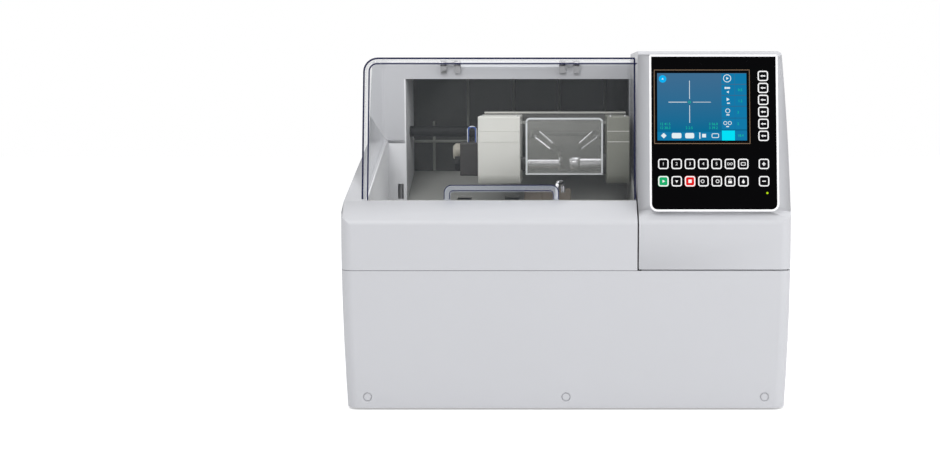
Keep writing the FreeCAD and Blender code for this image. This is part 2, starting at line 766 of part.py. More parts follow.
def make_drip_tray():
    across = ("tray_left", "tray_right")
    near = "tower_front - fit_gap"
    front_part = prism("tray_front_part", "YZ",
                       [[("tray_front", f"{ledge('tray_front')} - rim_drop"),
                         ("tray_front", "floor_height - tray_wall"),
                         ("floor_break", "floor_height - tray_wall"), (near, f"{floor_at(near)} - tray_wall"),
                         (near, f"{ledge(near)} - rim_drop")]], across)
    front_space = prism("tray_front_space", "YZ",
                        [[("tray_front + tray_wall", "tower_height"),
                          ("tray_front + tray_wall", "floor_height"),
                          ("floor_break", "floor_height"), ("tower_front", floor_at("tower_front")),
                          ("tower_front", "tower_height")]], ("tray_left + tray_wall",
                                                              "tray_right - tray_wall"))
    well = block("tray_well", ("well_left", "tray_right"), ("well_front", "well_back"),
                 ("well_base", "floor_height"))
    well_space = block("tray_well_space", ("well_left + tray_wall", "tray_right - tray_wall"),
                       ("well_front + tray_wall", "well_back - tray_wall"),
                       ("well_base + tray_wall", "floor_height + overrun"))
    slabs = []
    for name, ends, reach in (("tray_neck", ("opening_left + fit_gap", "tray_right"),
                               ("tower_front - overrun", "wall_back")),
                              ("tray_shelf", ("opening_left - tray_wall", "chamber_right + tray_wall"),
                               ("wall_back + fit_gap", "liner_back + tray_wall"))):
        slabs.append(prism(name, "YZ", [[(reach[0], f"{floor_at(reach[0])} - tray_wall"),
                                         (reach[1], f"{floor_at(reach[1])} - tray_wall"),
                                         (reach[1], floor_at(reach[1])), (reach[0], floor_at(reach[0]))]],
                           ends))
    joint = prism("tray_joint", "YZ", [[("wall_back - overrun",
                                         f"{floor_at('wall_back - overrun')} - tray_wall"),
                                        ("wall_back + overrun",
                                         f"{floor_at('wall_back + overrun')} - tray_wall"),
                                        ("wall_back + overrun", floor_at("wall_back + overrun")),
                                        ("wall_back - overrun", floor_at("wall_back - overrun"))]],
                  ("opening_left + fit_gap", "tray_right"))
    drain = rod("tray_drain", "Z", "drain_radius", ("well_base - drain_length", "well_base + tray_wall"),
                ("0", "wheel_deep"))
    solid = fuse("tray_solid", front_part, well, *slabs, joint, drain)
    drain_bore = rod("tray_drain_bore", "Z", "drain_radius - drain_wall",
                     ("well_base - drain_length - overrun", "floor_height"),
                     ("0", "wheel_deep"))
    gland = rod("tray_spindle_hole", "X", "spindle_housing_radius + fit_gap",
                ("tray_right - tray_wall - overrun", "tray_right + overrun"),
                ("wheel_deep", "wheel_height"))
    slots = [block("tray_slot", (f"slot_start + slot_pitch * {index}",
                                 f"slot_start + slot_pitch * {index} + slot_width"),
                   ("wall_back + overrun", "wall_back + overrun + slot_depth"),
                   ("floor_height", "rear_floor_rise + floor_height"))
             for index in range(2)]
    keep(cut("tray_moulding", solid, front_space, well_space, drain_bore, gland, *slots), "drip_tray")


# Chamber liner: the dark ribbed box inside the tower

sizes(rib_width=4, rib_depth=4, rib_start=-149.5, rib_pitch=69.6, rib_count=4, low_rib_across=-202,
      low_rib_top=364,
      cross_rib_height=333, pivot_setback=317, pivot_height=350, pivot_radius=8)
sizes(pivot_deep="front + pivot_setback")


def make_chamber_liner():
    back = "liner_back + tray_wall"
    box = prism("liner_box", "YZ", [[("wall_back", floor_at("wall_back")), (back, floor_at(back)),
                                     (back, "opening_top + tray_wall"), ("wall_back",
                                                                         "opening_top + tray_wall")]],
                ("opening_left - tray_wall", "chamber_right + tray_wall"))
    space = block("liner_space", ("opening_left", "chamber_right"), ("wall_back - overrun", "liner_back"),
                  ("floor_height - overrun", "opening_top"))
    shell = cut("liner_shell", box, space)
    deep = ("liner_back - rib_depth", "liner_back + tray_wall / 2")
    above = "liner_foot"
    ribs = [block("liner_rib", (f"rib_start + rib_pitch * {index} - rib_width / 2",
                                f"rib_start + rib_pitch * {index} + rib_width / 2"), deep,
                  (above, "opening_top + tray_wall / 2"))
            for index in range(int(number("rib_count")))]
    ribs.append(block("liner_low_rib", ("low_rib_across - rib_width / 2", "low_rib_across + rib_width / 2"),
                      deep,
                      (above, "low_rib_top")))
    ribs.append(block("liner_cross_rib", ("opening_left - tray_wall / 2", "rib_start"), deep,
                      ("cross_rib_height - rib_width / 2", "cross_rib_height + rib_width / 2")))
    whole = fuse("liner_ribbed", shell, *ribs)
    bore = rod("liner_shaft_holes", "X", "pivot_radius + joint_gap / 2",
               ("opening_left - overrun", "chamber_right + overrun"),
               ("pivot_deep", "pivot_height"))
    keep(cut("liner_moulding", whole, bore), "chamber_liner")


sizes(liner_foot="floor_height + rear_floor_rise + floor_slope * tray_wall")


# Clear hood with its handle and hinges

sizes(hood_wall=3, hood_side_reach=5, hood_lean=37, hood_top=455, hood_radius=10,
      hood_rear_gap=4, hood_seat_gap=0.3, handle_left=-158, handle_right=-9, handle_height=20, handle_bar=8,
      handle_reach=12, handle_radius=10, handle_inner_radius=4, handle_lift=1)
sizes(hood_left="chamber_left - hood_side_reach",
      hood_right="chamber_right",
      hood_back="tower_front - hood_rear_gap",
      hood_foot="apron_height + hood_seat_gap",
      hood_tilt="atan(hood_lean / (hood_top - hood_foot)) / 1 deg")


def hood_outline(inset, spare):
    """The hood's side outline; its lower edge follows the sloping ledge."""
    lean = "hood_lean / (hood_top - hood_foot)"
    shift = f"({inset}) / cos(hood_tilt)"
    top = f"hood_top - ({inset})"
    return [(f"apron_back + {shift} - {lean} * ({spare})", f"hood_foot - ({spare})"),
            (f"apron_back + {shift} + {lean} * ({top} - hood_foot)", top, f"hood_radius - ({inset})"),
            (f"hood_back + ({spare})", top),
            (f"hood_back + ({spare})", f"{ledge('hood_back')} + hood_seat_gap - ({spare})")]


def make_hood():
    ends = ("hood_left", "hood_right")
    form = prism("hood_form", "YZ", [hood_outline("0", "0")], ends)
    eased = fillet("hood_form_eased", form, "hood_radius",
                   {"x": ("hood_left", "hood_left"), "y": ("apron_back", "hood_back - overrun"),
                    "z": ("hood_foot", "hood_top")},
                   {"x": ("hood_left", "hood_left"), "z": ("hood_top", "hood_top")})
    space = prism("hood_space", "YZ", [hood_outline("hood_wall", "overrun")],
                  ("hood_left + hood_wall", "hood_right - hood_wall"))
    space_left = {"x": ("hood_left + hood_wall", "hood_left + hood_wall")}
    space_eased = fillet("hood_space_eased", space, "hood_radius - hood_wall",
                         {**space_left, "y": ("front", "hood_back - overrun"),
                          "z": ("hood_foot - overrun", "hood_top")},
                         {**space_left, "z": ("hood_top - hood_wall", "hood_top - hood_wall")})
    notches = []
    for index in range(2):
        left, right = hinge_ends(index)
        notches.append(block("hood_hinge_notch", (f"{left} - hinge_notch_gap", f"{right} + hinge_notch_gap"),
                             ("hinge_deep - hinge_radius - hinge_notch_gap", "hood_back + overrun"),
                             ("hinge_height - hinge_radius", "hood_top + overrun")))
    keep(cut("hood_moulding", eased, space_eased, *notches), "hood")


def make_hood_handle():
    body = tilted_body("handle_body", "apron_back", "hood_foot", "hood_tilt")
    low, high = "handle_lift", "handle_height"
    pad(body, "handle_bow", "XY",
        [[("handle_left", low), ("handle_left", high, "handle_radius"),
          ("handle_right", high, "handle_radius"),
          ("handle_right", low), ("handle_right - handle_bar", low),
          ("handle_right - handle_bar", f"{high} - handle_bar", "handle_inner_radius"),
          ("handle_left + handle_bar", f"{high} - handle_bar", "handle_inner_radius"),
          ("handle_left + handle_bar", low)]], "handle_reach")
    keep(body, "hood_handle")


sizes(hinge_setback=5.5, hinge_drop=5, hinge_radius=4, hinge_pin_radius=1.6, hinge_width=29,
      hinge_left=-181.6,
      hinge_spacing=172, hinge_share=0.3, leaf_thickness=2.5, leaf_length=26, hinge_side_gap=0.2,
      hinge_foot=14, hinge_notch_gap=1)
sizes(hinge_deep="tower_front - hinge_setback",
      hinge_height="hood_top - hinge_drop",
      knuckle_length="hinge_width * hinge_share",
      leaf_top="hood_top - hood_wall")


def hinge_ends(index):
    """Left and right ends of one hinge."""
    left = f"(hinge_left + hinge_spacing * {index})"
    return left, f"({left} + hinge_width)"


def make_hinges():
    """Leaves under the hood's top, and knuckles with pins on the tower's face."""
    leaves, mounts = [], []
    centre = ("hinge_deep", "hinge_height")
    for index in range(2):
        left, right = hinge_ends(index)
        middle = (f"{left} + knuckle_length + hinge_side_gap", f"{right} - knuckle_length - hinge_side_gap")
        plate = block("leaf_plate", middle, ("hinge_deep - leaf_length", "hinge_deep"),
                      ("leaf_top - leaf_thickness", "leaf_top"))
        barrel = rod("leaf_barrel", "X", "hinge_radius", middle, centre)
        bore = rod("leaf_bore", "X", "hinge_pin_radius + running_gap",
                   (f"{left} - overrun", f"{right} + overrun"), centre)
        leaves.append(cut("leaf", fuse("leaf_solid", plate, barrel), bore))
        ears = []
        for ends in ((left, f"{left} + knuckle_length"), (f"{right} - knuckle_length", right)):
            ears.append(rod("mount_barrel", "X", "hinge_radius", ends, centre))
            ears.append(block("mount_foot", ends, ("hinge_deep", "tower_front"),
                              ("hinge_height - hinge_foot", "hinge_height")))
        pin = rod("hinge_pin", "X", "hinge_pin_radius", (left, right), centre)
        mounts.append(fuse("hinge_mount", *ears, pin))
    keep(group("leaf_pair", *leaves), "hood_hinges")
    keep(group("mount_pair", *mounts), "hinge_mounts")


# Grinding spindle, wheels and motor

sizes(wheel_radius=50, wheel_bevel=1.5, spindle_radius=10, wheel_stack_left=-58, rough_width=25,
      finish_width=22,
      polish_width=18, groove_depth=2.5, groove_width=6, collar_radius=20, collar_width=6, nut_radius=15,
      nut_width=8,
      nose_gap=2, nose_radius=18, nose_length=22, housing_end=155, pedestal_start=108, pedestal_width=40,
      pedestal_depth=50, pedestal_foot=8, pedestal_foot_reach=14, motor_length=107, motor_radius=45,
      motor_flange=4,
      motor_flange_radius=48, motor_cap_radius=40, motor_cap_length=14, coupling_length=20, hub_clearance=1)
sizes(wheel_stack_right="wheel_stack_left + rough_width + finish_width + polish_width",
      motor_end="housing_end + motor_length")


def wheel_profile(start, width, groove):
    """A bevelled wheel's (along, radius) corners, with a V groove for the finishing wheel."""
    end = f"({start} + {width})"
    corners = [(start, "spindle_radius"), (start, "wheel_radius - wheel_bevel"),
               (f"{start} + wheel_bevel", "wheel_radius")]
    if groove:
        middle = f"({start} + {width} / 2)"
        corners += [(f"{middle} - groove_width / 2", "wheel_radius"), (middle, "wheel_radius - groove_depth"),
                    (f"{middle} + groove_width / 2", "wheel_radius")]
    return corners + [(f"{end} - wheel_bevel", "wheel_radius"), (end, "wheel_radius - wheel_bevel"),
                      (end, "spindle_radius")]


def make_grinding_unit():
    centre = ("wheel_deep", "wheel_height")
    rough_end = "(wheel_stack_left + rough_width)"
    finish_end = "(wheel_stack_left + rough_width + finish_width)"
    wheels = [turned("rough_wheel", "X", wheel_profile("wheel_stack_left", "rough_width", False), centre),
              turned("finish_wheel", "X", wheel_profile(rough_end, "finish_width", True), centre),
              turned("polish_wheel", "X", wheel_profile(finish_end, "polish_width", False), centre)]
    keep(group("wheel_stack", *wheels), "grinding_wheels")
    left, right = "wheel_stack_left", "wheel_stack_right"
    spindle = turned("spindle_shaft", "X",
                     [(f"{left} - nut_width", "0"), (f"{left} - nut_width", "nut_radius"),
                      (left, "nut_radius"),
                      (left, "spindle_radius"), (right, "spindle_radius"), (right, "collar_radius"),
                      (f"{right} + collar_width", "collar_radius"),
                      (f"{right} + collar_width", "spindle_radius"),
                      ("housing_end + coupling_length", "spindle_radius"),
                      ("housing_end + coupling_length", "0")], centre)
    keep(spindle, "wheel_spindle")
    nose = "(wheel_stack_right + collar_width + nose_gap)"
    sleeve = turned("spindle_sleeve", "X",
                    [(nose, "spindle_radius + running_gap"), (nose, "nose_radius"),
                     (f"{nose} + nose_length", "nose_radius"),
                     (f"{nose} + nose_length", "spindle_housing_radius"),
                     ("housing_end", "spindle_housing_radius"),
                     ("housing_end", "spindle_radius + running_gap")], centre)
    pedestal_end = "pedestal_start + pedestal_width"
    pillar = block("spindle_pillar", ("pedestal_start", pedestal_end),
                   ("wheel_deep - pedestal_depth / 2", "wheel_deep + pedestal_depth / 2"),
                   ("pan_top", "wheel_height"))
    foot = block("spindle_foot", ("pedestal_start", pedestal_end),
                 ("wheel_deep - pedestal_depth / 2 - pedestal_foot_reach",
                  "wheel_deep + pedestal_depth / 2 + pedestal_foot_reach"),
                 ("pan_top", "pan_top + pedestal_foot"))
    bore = rod("spindle_bore", "X", "spindle_radius + running_gap",
               ("pedestal_start - overrun", f"{pedestal_end} + overrun"), centre)
    keep(fuse("spindle_casting", sleeve,
              cut("spindle_stand", fuse("spindle_stand_solid", pillar, foot), bore)), "spindle_housing")
    motor = turned("motor_case", "X",
                   [("housing_end", "spindle_radius + hub_clearance"), ("housing_end", "motor_flange_radius"),
                    ("housing_end + motor_flange", "motor_flange_radius"),
                    ("housing_end + motor_flange", "motor_radius"),
                    ("motor_end - motor_cap_length", "motor_radius"), ("motor_end", "motor_cap_radius"),
                    ("motor_end", "0"),
                    ("housing_end + coupling_length + hub_clearance", "0"),
                    ("housing_end + coupling_length + hub_clearance", "spindle_radius + hub_clearance")],
                   centre)
    keep(motor, "main_motor")


# Pivot shaft on its uprights, the traverse slide and the swinging carriage

sizes(upright_thickness=6, upright_gap=3, upright_head=20, upright_foot_depth=110, upright_toe=24,
      shaft_end=6,
      boss_radius=17, boss_length=30, left_boss_start=-104, right_boss_start=44, slide_radius=15,
      slide_lug_width=22,
      slide_lug_depth=24, slide_lug_drop=30, axial_gap=0.2, bridge_left=-116, bridge_right=85,
      bridge_front_setback=220,
      bridge_depth=46, bridge_base=333, bridge_top=381, web_height=26, chuck_setback=154, chuck_height=311)
sizes(left_upright="opening_left - tray_wall - upright_gap - upright_thickness",
      right_upright="chamber_right + tray_wall + upright_gap",
      bridge_front="front + bridge_front_setback",
      bridge_back="bridge_front + bridge_depth",
      chuck_deep="front + chuck_setback",
      slide_start="left_boss_start + boss_length + axial_gap",
      slide_end="right_boss_start - axial_gap")


def make_pivot():
    centre = ("pivot_deep", "pivot_height")
    keep(rod("pivot_rod", "X", "pivot_radius",
             ("left_upright - shaft_end", "right_upright + upright_thickness + shaft_end"), centre),
         "pivot_shaft")
    plates = []
    for start, outward in (("left_upright", "-"), ("right_upright", "")):
        ends = (start, f"{start} + upright_thickness")
        half = "upright_foot_depth / 2"
        plate = prism("upright_plate", "YZ",
                      [[(f"pivot_deep - {half}", "pan_top"), (f"pivot_deep + {half}", "pan_top"),
                        ("pivot_deep + upright_head", "pivot_height + upright_head", "upright_head / 2"),
                        ("pivot_deep - upright_head", "pivot_height + upright_head", "upright_head / 2")]],
                      ends)
        side = f"{start}" if outward else f"{start} + upright_thickness"
        toe_ends = (f"{side} - upright_toe", side) if outward else (side, f"{side} + upright_toe")
        toe = block("upright_toe", toe_ends, (f"pivot_deep - {half}", f"pivot_deep + {half}"),
                    ("pan_top", "pan_top + upright_thickness"))
        hole = rod("upright_hole", "X", "pivot_radius",
                   (f"{start} - overrun", f"{start} + upright_thickness + overrun"), centre)
        plates.append(cut("upright", fuse("upright_solid", plate, toe), hole))
    keep(group("upright_pair", *plates), "shaft_uprights")
    sleeve = rod("slide_sleeve", "X", "slide_radius", ("slide_start", "slide_end"), centre)
    lug_middle = "(slide_start + slide_end) / 2"
    lug = block("slide_lug", (f"{lug_middle} - slide_lug_width / 2", f"{lug_middle} + slide_lug_width / 2"),
                ("pivot_deep - slide_lug_depth / 2", "pivot_deep + slide_lug_depth / 2"),
                ("pivot_height - slide_lug_drop", "pivot_height"))
    bore = rod("slide_bore", "X", "pivot_radius + running_gap",
               ("slide_start - overrun", "slide_end + overrun"), centre)
    keep(cut("slide_block", fuse("slide_solid", sleeve, lug), bore), "traverse_slide")


sizes(left_cover_start=-119, left_cover_end=-62, right_cover_start=55, right_cover_end=86, cover_wall=3,
      cover_top=377, cover_base=286, cover_lean_deep=6, cover_lean_up=20, cover_ridge_up=34,
      cover_front_setback=108,
      cover_brow=3, cover_chin=12, cover_edge=1.5, core_gap=0.5, core_back_reach=30, core_chin=60,
      left_flange_radius=9,
      left_flange_reach=7, nose_flange_radius=14, nose_flange_reach=5.5, chuck_shaft_radius=6,
      quill_radius=7.5)
sizes(cover_front="front + cover_front_setback")


def arm_outline(inset, back, tail):
    """An arm's side outline: slanted brow, upright face and a chamfered chin."""
    face, top, base = f"cover_front + ({inset})", f"cover_top - ({inset})", f"cover_base + ({inset})"
    return [(back, top), (f"{face} + cover_lean_deep", top, "cover_brow"),
            (f"{face} + cover_brow", f"{top} - cover_lean_up"), (face, f"{top} - cover_ridge_up"),
            (face, f"{base} + cover_chin"), (f"{face} + cover_chin", base), tail,
            (back, f"{base} + core_chin")]


def make_arm_cover(node, ends, shaft_radius):
    """A hollow cover, open at the back, with holes where the chuck passes through its sides."""
    outer_outline = arm_outline("0", "bridge_front", ("bridge_front", "cover_base"))[:-1]
    inner_outline = arm_outline("cover_wall", "bridge_front + overrun",
                                ("bridge_front + overrun", "cover_base + cover_wall"))[:-1]
    outer = prism(node + "_outer", "YZ", [outer_outline], ends)
    eased = fillet(node + "_eased", outer, "cover_edge",
                   *({"x": (side, side), "y": ("cover_front - overrun",
                                               "bridge_front - overrun")} for side in ends))
    inner = prism(node + "_inner", "YZ", [inner_outline],
                  (f"{ends[0]} + cover_wall", f"{ends[1]} - cover_wall"))
    hole = rod(node + "_hole", "X", shaft_radius, (f"{ends[0]} - overrun", f"{ends[1]} + overrun"),
               ("chuck_deep", "chuck_height"))
    return eased, inner, hole


def make_carriage():
    pivot, chuck = ("pivot_deep", "pivot_height"), ("chuck_deep", "chuck_height")
    parts = [block("carriage_bridge", ("bridge_left", "bridge_right"), ("bridge_front", "bridge_back"),
                   ("bridge_base", "bridge_top"))]
    core_back = "bridge_front + core_back_reach"
    core = arm_outline("cover_wall + core_gap", core_back,
                       ("bridge_front - cover_chin", "cover_base + cover_wall + core_gap"))
    left_ends = ("left_cover_start + cover_wall", "left_cover_end - cover_wall")
    right_ends = ("right_cover_start + cover_wall", "right_cover_end - cover_wall")
    parts += [prism("carriage_arm", "YZ", [core], ends) for ends in (left_ends, right_ends)]
    for start in ("left_boss_start", "right_boss_start"):
        ends = (start, f"{start} + boss_length")
        parts.append(rod("carriage_boss", "X", "boss_radius", ends, pivot))
        parts.append(block("carriage_web", ends, ("bridge_back - overrun", "pivot_deep"),
                           ("pivot_height - web_height / 2", "pivot_height + web_height / 2")))
    parts.append(rod("left_flange", "X", "left_flange_radius",
                     (left_ends[1], "left_cover_end + left_flange_reach"), chuck))
    parts.append(rod("right_flange", "X", "nose_flange_radius",
                     ("right_cover_start - nose_flange_reach", right_ends[0]), chuck))
    lug_ends = (("feeler_start - lug_width", "feeler_start"), ("feeler_end", "feeler_end + lug_width"))
    for ends in lug_ends:
        parts.append(block("feeler_lug", ends, ("feeler_deep - feeler_shaft_radius * 2", "bridge_front"),
                           ("feeler_height - lug_half", "feeler_height + lug_half")))
    whole = fuse("carriage_solid", *parts)
    bores = [rod("carriage_pivot_bore", "X", "pivot_radius + running_gap", ("bridge_left", "bridge_right"),
                 pivot),
             rod("left_chuck_bore", "X", "chuck_shaft_radius + running_gap",
                 ("left_cover_start", "left_cover_end + left_flange_reach + overrun"), chuck),
             rod("quill_bore", "X", "quill_radius + running_gap",
                 ("right_cover_start - nose_flange_reach - overrun", "right_cover_end"), chuck),
             rod("feeler_bore", "X", "feeler_shaft_radius + running_gap",
                 ("feeler_start - lug_width - overrun", "feeler_end + lug_width + overrun"),
                 ("feeler_deep", "feeler_height"))]
    keep(cut("carriage_casting", whole, *bores), "carriage_frame")


def make_arm_covers():
    chuck = ("chuck_deep", "chuck_height")
    hinge = ("shield_deep", "shield_hinge_height")
    eased, inner, hole = make_arm_cover("left_arm_cover", ("left_cover_start", "left_cover_end"),
                                           "chuck_shaft_radius + core_gap")
    flange = rod("left_flange_hole", "X", "left_flange_radius + axial_gap",
                 ("left_cover_end - cover_wall - overrun", "left_cover_end + overrun"), chuck)
    pin = rod("left_pin_hole", "X", "shield_pin_radius + running_gap",
              ("left_cover_end - cover_wall / 2 - pin_reach", "left_cover_end + overrun"), hinge)
    keep(cut("left_cover_shell", eased, inner, hole, flange, pin), "left_arm_cover")
    ends = ("right_cover_start", "right_cover_end")
    eased, inner, hole = make_arm_cover("right_arm_cover", ends, "nose_flange_radius + axial_gap")
    nose = rod("right_flange_hole", "X", "nose_flange_radius + axial_gap",
               ("right_cover_start - overrun", "right_cover_start + cover_wall + overrun"), chuck)
    pin = rod("right_pin_hole", "X", "shield_pin_radius + running_gap",
              ("right_cover_start - overrun", "right_cover_start + cover_wall / 2 + pin_reach"), hinge)
    keep(cut("right_cover_shell", eased, inner, nose, pin), "right_arm_cover")


# Chuck drive and lens chucks

sizes(gearbox_length=25, gearbox_front_setback=124, gearbox_depth=66, gearbox_base=296, gearbox_top=340.5,
      gearbox_corner=2, collar_start=-153, collar_length=8, hex_radius=11.5, encoder_setback=176,
      encoder_height=326,
      encoder_radius=12, encoder_length=13, cup_radius=9.5, cup_start=-8, cup_length=3.5, cup_dish=0.8,
      chuck_disc=2,
      presser_start=5, presser_tip=3, presser_tip_radius=8, presser_length=14, stem_radius=5, stem_end=54,
      quill_end=60, shaft_gap=0.3)
sizes(gearbox_start="left_cover_start - gearbox_length",
      gearbox_front="front + gearbox_front_setback",
      encoder_deep="front + encoder_setback")


def make_chuck_drive():
    chuck = ("chuck_deep", "chuck_height")
    body = new_body("gearbox_body")
    pad(body, "gearbox_block", "YZ",
        [rectangle("gearbox_front", "gearbox_base", "gearbox_front + gearbox_depth", "gearbox_top",
                   "gearbox_corner")],
        "gearbox_length", "gearbox_start")
    pocket(body, "gearbox_bore", "YZ", [("chuck_deep", "chuck_height", "chuck_shaft_radius + shaft_gap")],
           "gearbox_length + overrun", "gearbox_start - overrun / 2", reverse=True)
    keep(body, "chuck_motor")
    keep(turned("encoder_turned", "X",
                [("gearbox_start - encoder_length", "0"),
                 ("gearbox_start - encoder_length", "encoder_radius - cup_length"),
                 ("gearbox_start - encoder_length + cup_length", "encoder_radius"),
                 ("gearbox_start", "encoder_radius"),
                 ("gearbox_start", "0")], ("encoder_deep", "encoder_height")), "chuck_encoder")
    hex_corners = []
    for index in range(6):
        turn = f"(square_angle * {index} * 2 / 3)"
        hex_corners.append((f"chuck_deep + hex_radius * cos({turn})",
                            f"chuck_height + hex_radius * sin({turn})"))
    nut = prism("chuck_nut", "YZ", [hex_corners], ("collar_start", "collar_start + collar_length"))
    shaft = rod("chuck_shaft", "X", "chuck_shaft_radius", ("collar_start", "cup_start - chuck_disc"), chuck)
    disc = rod("chuck_disc_plate", "X", "cup_radius", ("cup_start - chuck_disc", "cup_start"), chuck)
    keep(fuse("left_chuck_solid", nut, shaft, disc), "left_chuck")
    cup_end = "(cup_start + cup_length)"
    keep(turned("cup_turned", "X", [("cup_start", "0"), ("cup_start", "cup_radius"), (cup_end, "cup_radius"),
                                    (f"{cup_end} - cup_dish", "0")], chuck), "lens_cup")
    head_end = "(presser_start + presser_length)"
    keep(turned("presser_turned", "X",
                [("presser_start", "0"), ("presser_start", "presser_tip_radius"),
                 ("presser_start + presser_tip", "presser_tip_radius"),
                 ("presser_start + presser_tip", "cup_radius"),
                 (head_end, "cup_radius"), (head_end, "stem_radius"), ("stem_end", "stem_radius"),
                 ("stem_end", "0")],
                chuck), "right_chuck")
    quill = turned("quill_turned", "X",
                   [(f"{head_end} + shaft_gap", "stem_radius + running_gap"),
                    (f"{head_end} + shaft_gap", "quill_radius"),
                    ("quill_end", "quill_radius"), ("quill_end", "0"), ("stem_end + shaft_gap", "0"),
                    ("stem_end + shaft_gap", "stem_radius + running_gap")], chuck)
    keep(quill, "clamp_quill")


# Clear shield between the arms, lens feelers and coolant nozzle

sizes(shield_setback=117, shield_hinge_height=369, shield_left=-54.6, shield_right=50, shield_base=298,
      shield_thickness=2.5, shield_roll=2.2, shield_bead=1.8, shield_pin_radius=2, pin_reach=1,
      shield_corner=6,
      feeler_setback=202, feeler_height=350, feeler_start=-46, feeler_end=46, feeler_shaft_radius=2.5,
      lug_width=5,
      lug_half=6, stylus_radius=1.6, stylus_inset=3, stylus_tip_inset=24, stylus_reach=22, stylus_drop=20,
      nozzle_radius=3, nozzle_across=-12, nozzle_setback=88, nozzle_top=289, nozzle_bend=8, nozzle_step=8,
      nozzle_reach=18, nozzle_drop=14, nozzle_base_radius=8, nozzle_base_height=4, nozzle_bore=1.8)
sizes(shield_deep="front + shield_setback",
      feeler_deep="front + feeler_setback",
      nozzle_deep="front + nozzle_setback")


def route(points, bend):
    """A path of straight runs joined by tangent arcs of one radius."""
    places = [Vector(*(number(term) for term in point)) for point in points]
    radius = number(bend)
    edges, last = [], places[0]
    for before, corner, after in zip(places, places[1:], places[2:]):
        start, middle, end = rounding(before, corner, after, radius)
        edges.append(Part.LineSegment(last, start).toShape())
        edges.append(Part.Arc(start, middle, end).toShape())
        last = end
    edges.append(Part.LineSegment(last, places[-1]).toShape())
    return Part.Wire(edges)


def bent_rod(name, radius, points, bend):
    """A round rod or tube solid along a route."""
    path = route(points, bend)
    first = path.Vertexes[0].Point
    direction = path.Edges[0].tangentAt(path.Edges[0].FirstParameter)
    ring = Part.Wire(Part.Circle(first, direction, number(radius)).toShape())
    solid = doc.addObject("Part::Feature", name)
    solid.Shape = path.makePipeShell([ring], True, True)
    return solid


def make_shield():
    """A clear plate in front of the lens, hung by a roll near its top."""
    hinge = ("shield_deep", "shield_hinge_height")
    top = "shield_hinge_height + shield_corner"
    plate = prism("shield_plate", "XZ",
                  [[("shield_left", "shield_base"), ("shield_right", "shield_base"),
                    ("shield_right", top, "shield_corner"), ("shield_left", top, "shield_corner")]],
                  ("shield_deep - shield_thickness / 2", "shield_deep + shield_thickness / 2"))
    roll = rod("shield_top_roll", "X", "shield_roll", ("shield_left", "shield_right"), hinge)
    bead = rod("shield_bead_roll", "X", "shield_bead", ("shield_left", "shield_right"),
               ("shield_deep", "shield_base + shield_bead"))
    pins = rod("shield_pins", "X", "shield_pin_radius",
               ("left_cover_end - pin_reach", "right_cover_start + pin_reach"), hinge)
    keep(fuse("shield_moulding", plate, roll, bead, pins), "shield")


def make_feelers():
    shaft = rod("feeler_shaft", "X", "feeler_shaft_radius",
                ("feeler_start - lug_width", "feeler_end + lug_width"),
                ("feeler_deep", "feeler_height"))
    styli = []
    for base, inward in (("feeler_start", "+"), ("feeler_end", "-")):
        root = (f"{base} {inward} stylus_inset", "feeler_deep", "feeler_height")
        knee = (f"{base} {inward} stylus_inset", "feeler_deep - stylus_reach / 2",
                "feeler_height - stylus_drop / 4")
        tip = (f"{base} {inward} stylus_tip_inset", "feeler_deep - stylus_reach",
               "feeler_height - stylus_drop")
        styli.append(bent_rod("stylus", "stylus_radius", [root, knee, tip], "stylus_radius * 2"))
    keep(fuse("feeler_pair", shaft, *styli), "feeler_arms")


def make_nozzle():
    points = [("nozzle_across", "nozzle_deep", "floor_height"),
              ("nozzle_across", "nozzle_deep", "nozzle_top"),
              ("nozzle_across + nozzle_step", "nozzle_deep + nozzle_reach", "nozzle_top"),
              ("nozzle_across + nozzle_step", "nozzle_deep + nozzle_reach", "nozzle_top - nozzle_drop")]
    tube = bent_rod("nozzle_tube", "nozzle_radius", points, "nozzle_bend * 3 / 4")
    bore = bent_rod("nozzle_tube_bore", "nozzle_bore", points, "nozzle_bend * 3 / 4")
    base = rod("nozzle_base", "Z", "nozzle_base_radius",
               ("floor_height", "floor_height + nozzle_base_height"),
               ("nozzle_across", "nozzle_deep"))
    keep(cut("nozzle_bent", fuse("nozzle_solid", tube, base), bore), "coolant_nozzle")


sizes(loop_left=-135, loop_width=11, loop_height=21, loop_radius=1.4)


def make_cable_loop():
    deep, foot, head = "chuck_deep", "gearbox_top", "gearbox_top + loop_height"
    points = [("loop_left", deep, foot), ("loop_left", deep, head), ("loop_left + loop_width", deep, head),
              ("loop_left + loop_width", deep, foot)]
    keep(bent_rod("loop_tube", "loop_radius", points, "loop_width * 0.45"), "cable_loop")


# Rear panel with its fittings

sizes(plate_thickness=2, plate_margin=8, louvre_width=60, louvre_height=5, louvre_pitch=11, louvre_count=7,
      louvre_left=-150, louvre_base=62, inlet_across=110, inlet_up=70, inlet_width=48, inlet_height=24,
      inlet_depth=6, inlet_hole_width=24, inlet_hole_height=16, inlet_hole_depth=4,
      port_across=20, port_up=70, port_pitch=36, port_width=31, port_height=12.5, port_depth=7, port_bore=4,
      tail_across=20, tail_up=130, tail_pitch=50, supply_radius=5, drain_tail_radius=10, tail_flange=3,
      tail_flange_spare=5, tail_bore_share=0.65, switch_across=150, switch_up=70, switch_radius=9,
      switch_width=12,
      switch_frame=3, switch_gap=0.4, switch_recess=2, rocker_lean=8)
sizes(plate_back="back + plate_thickness", rear_end="body_depth / 2")


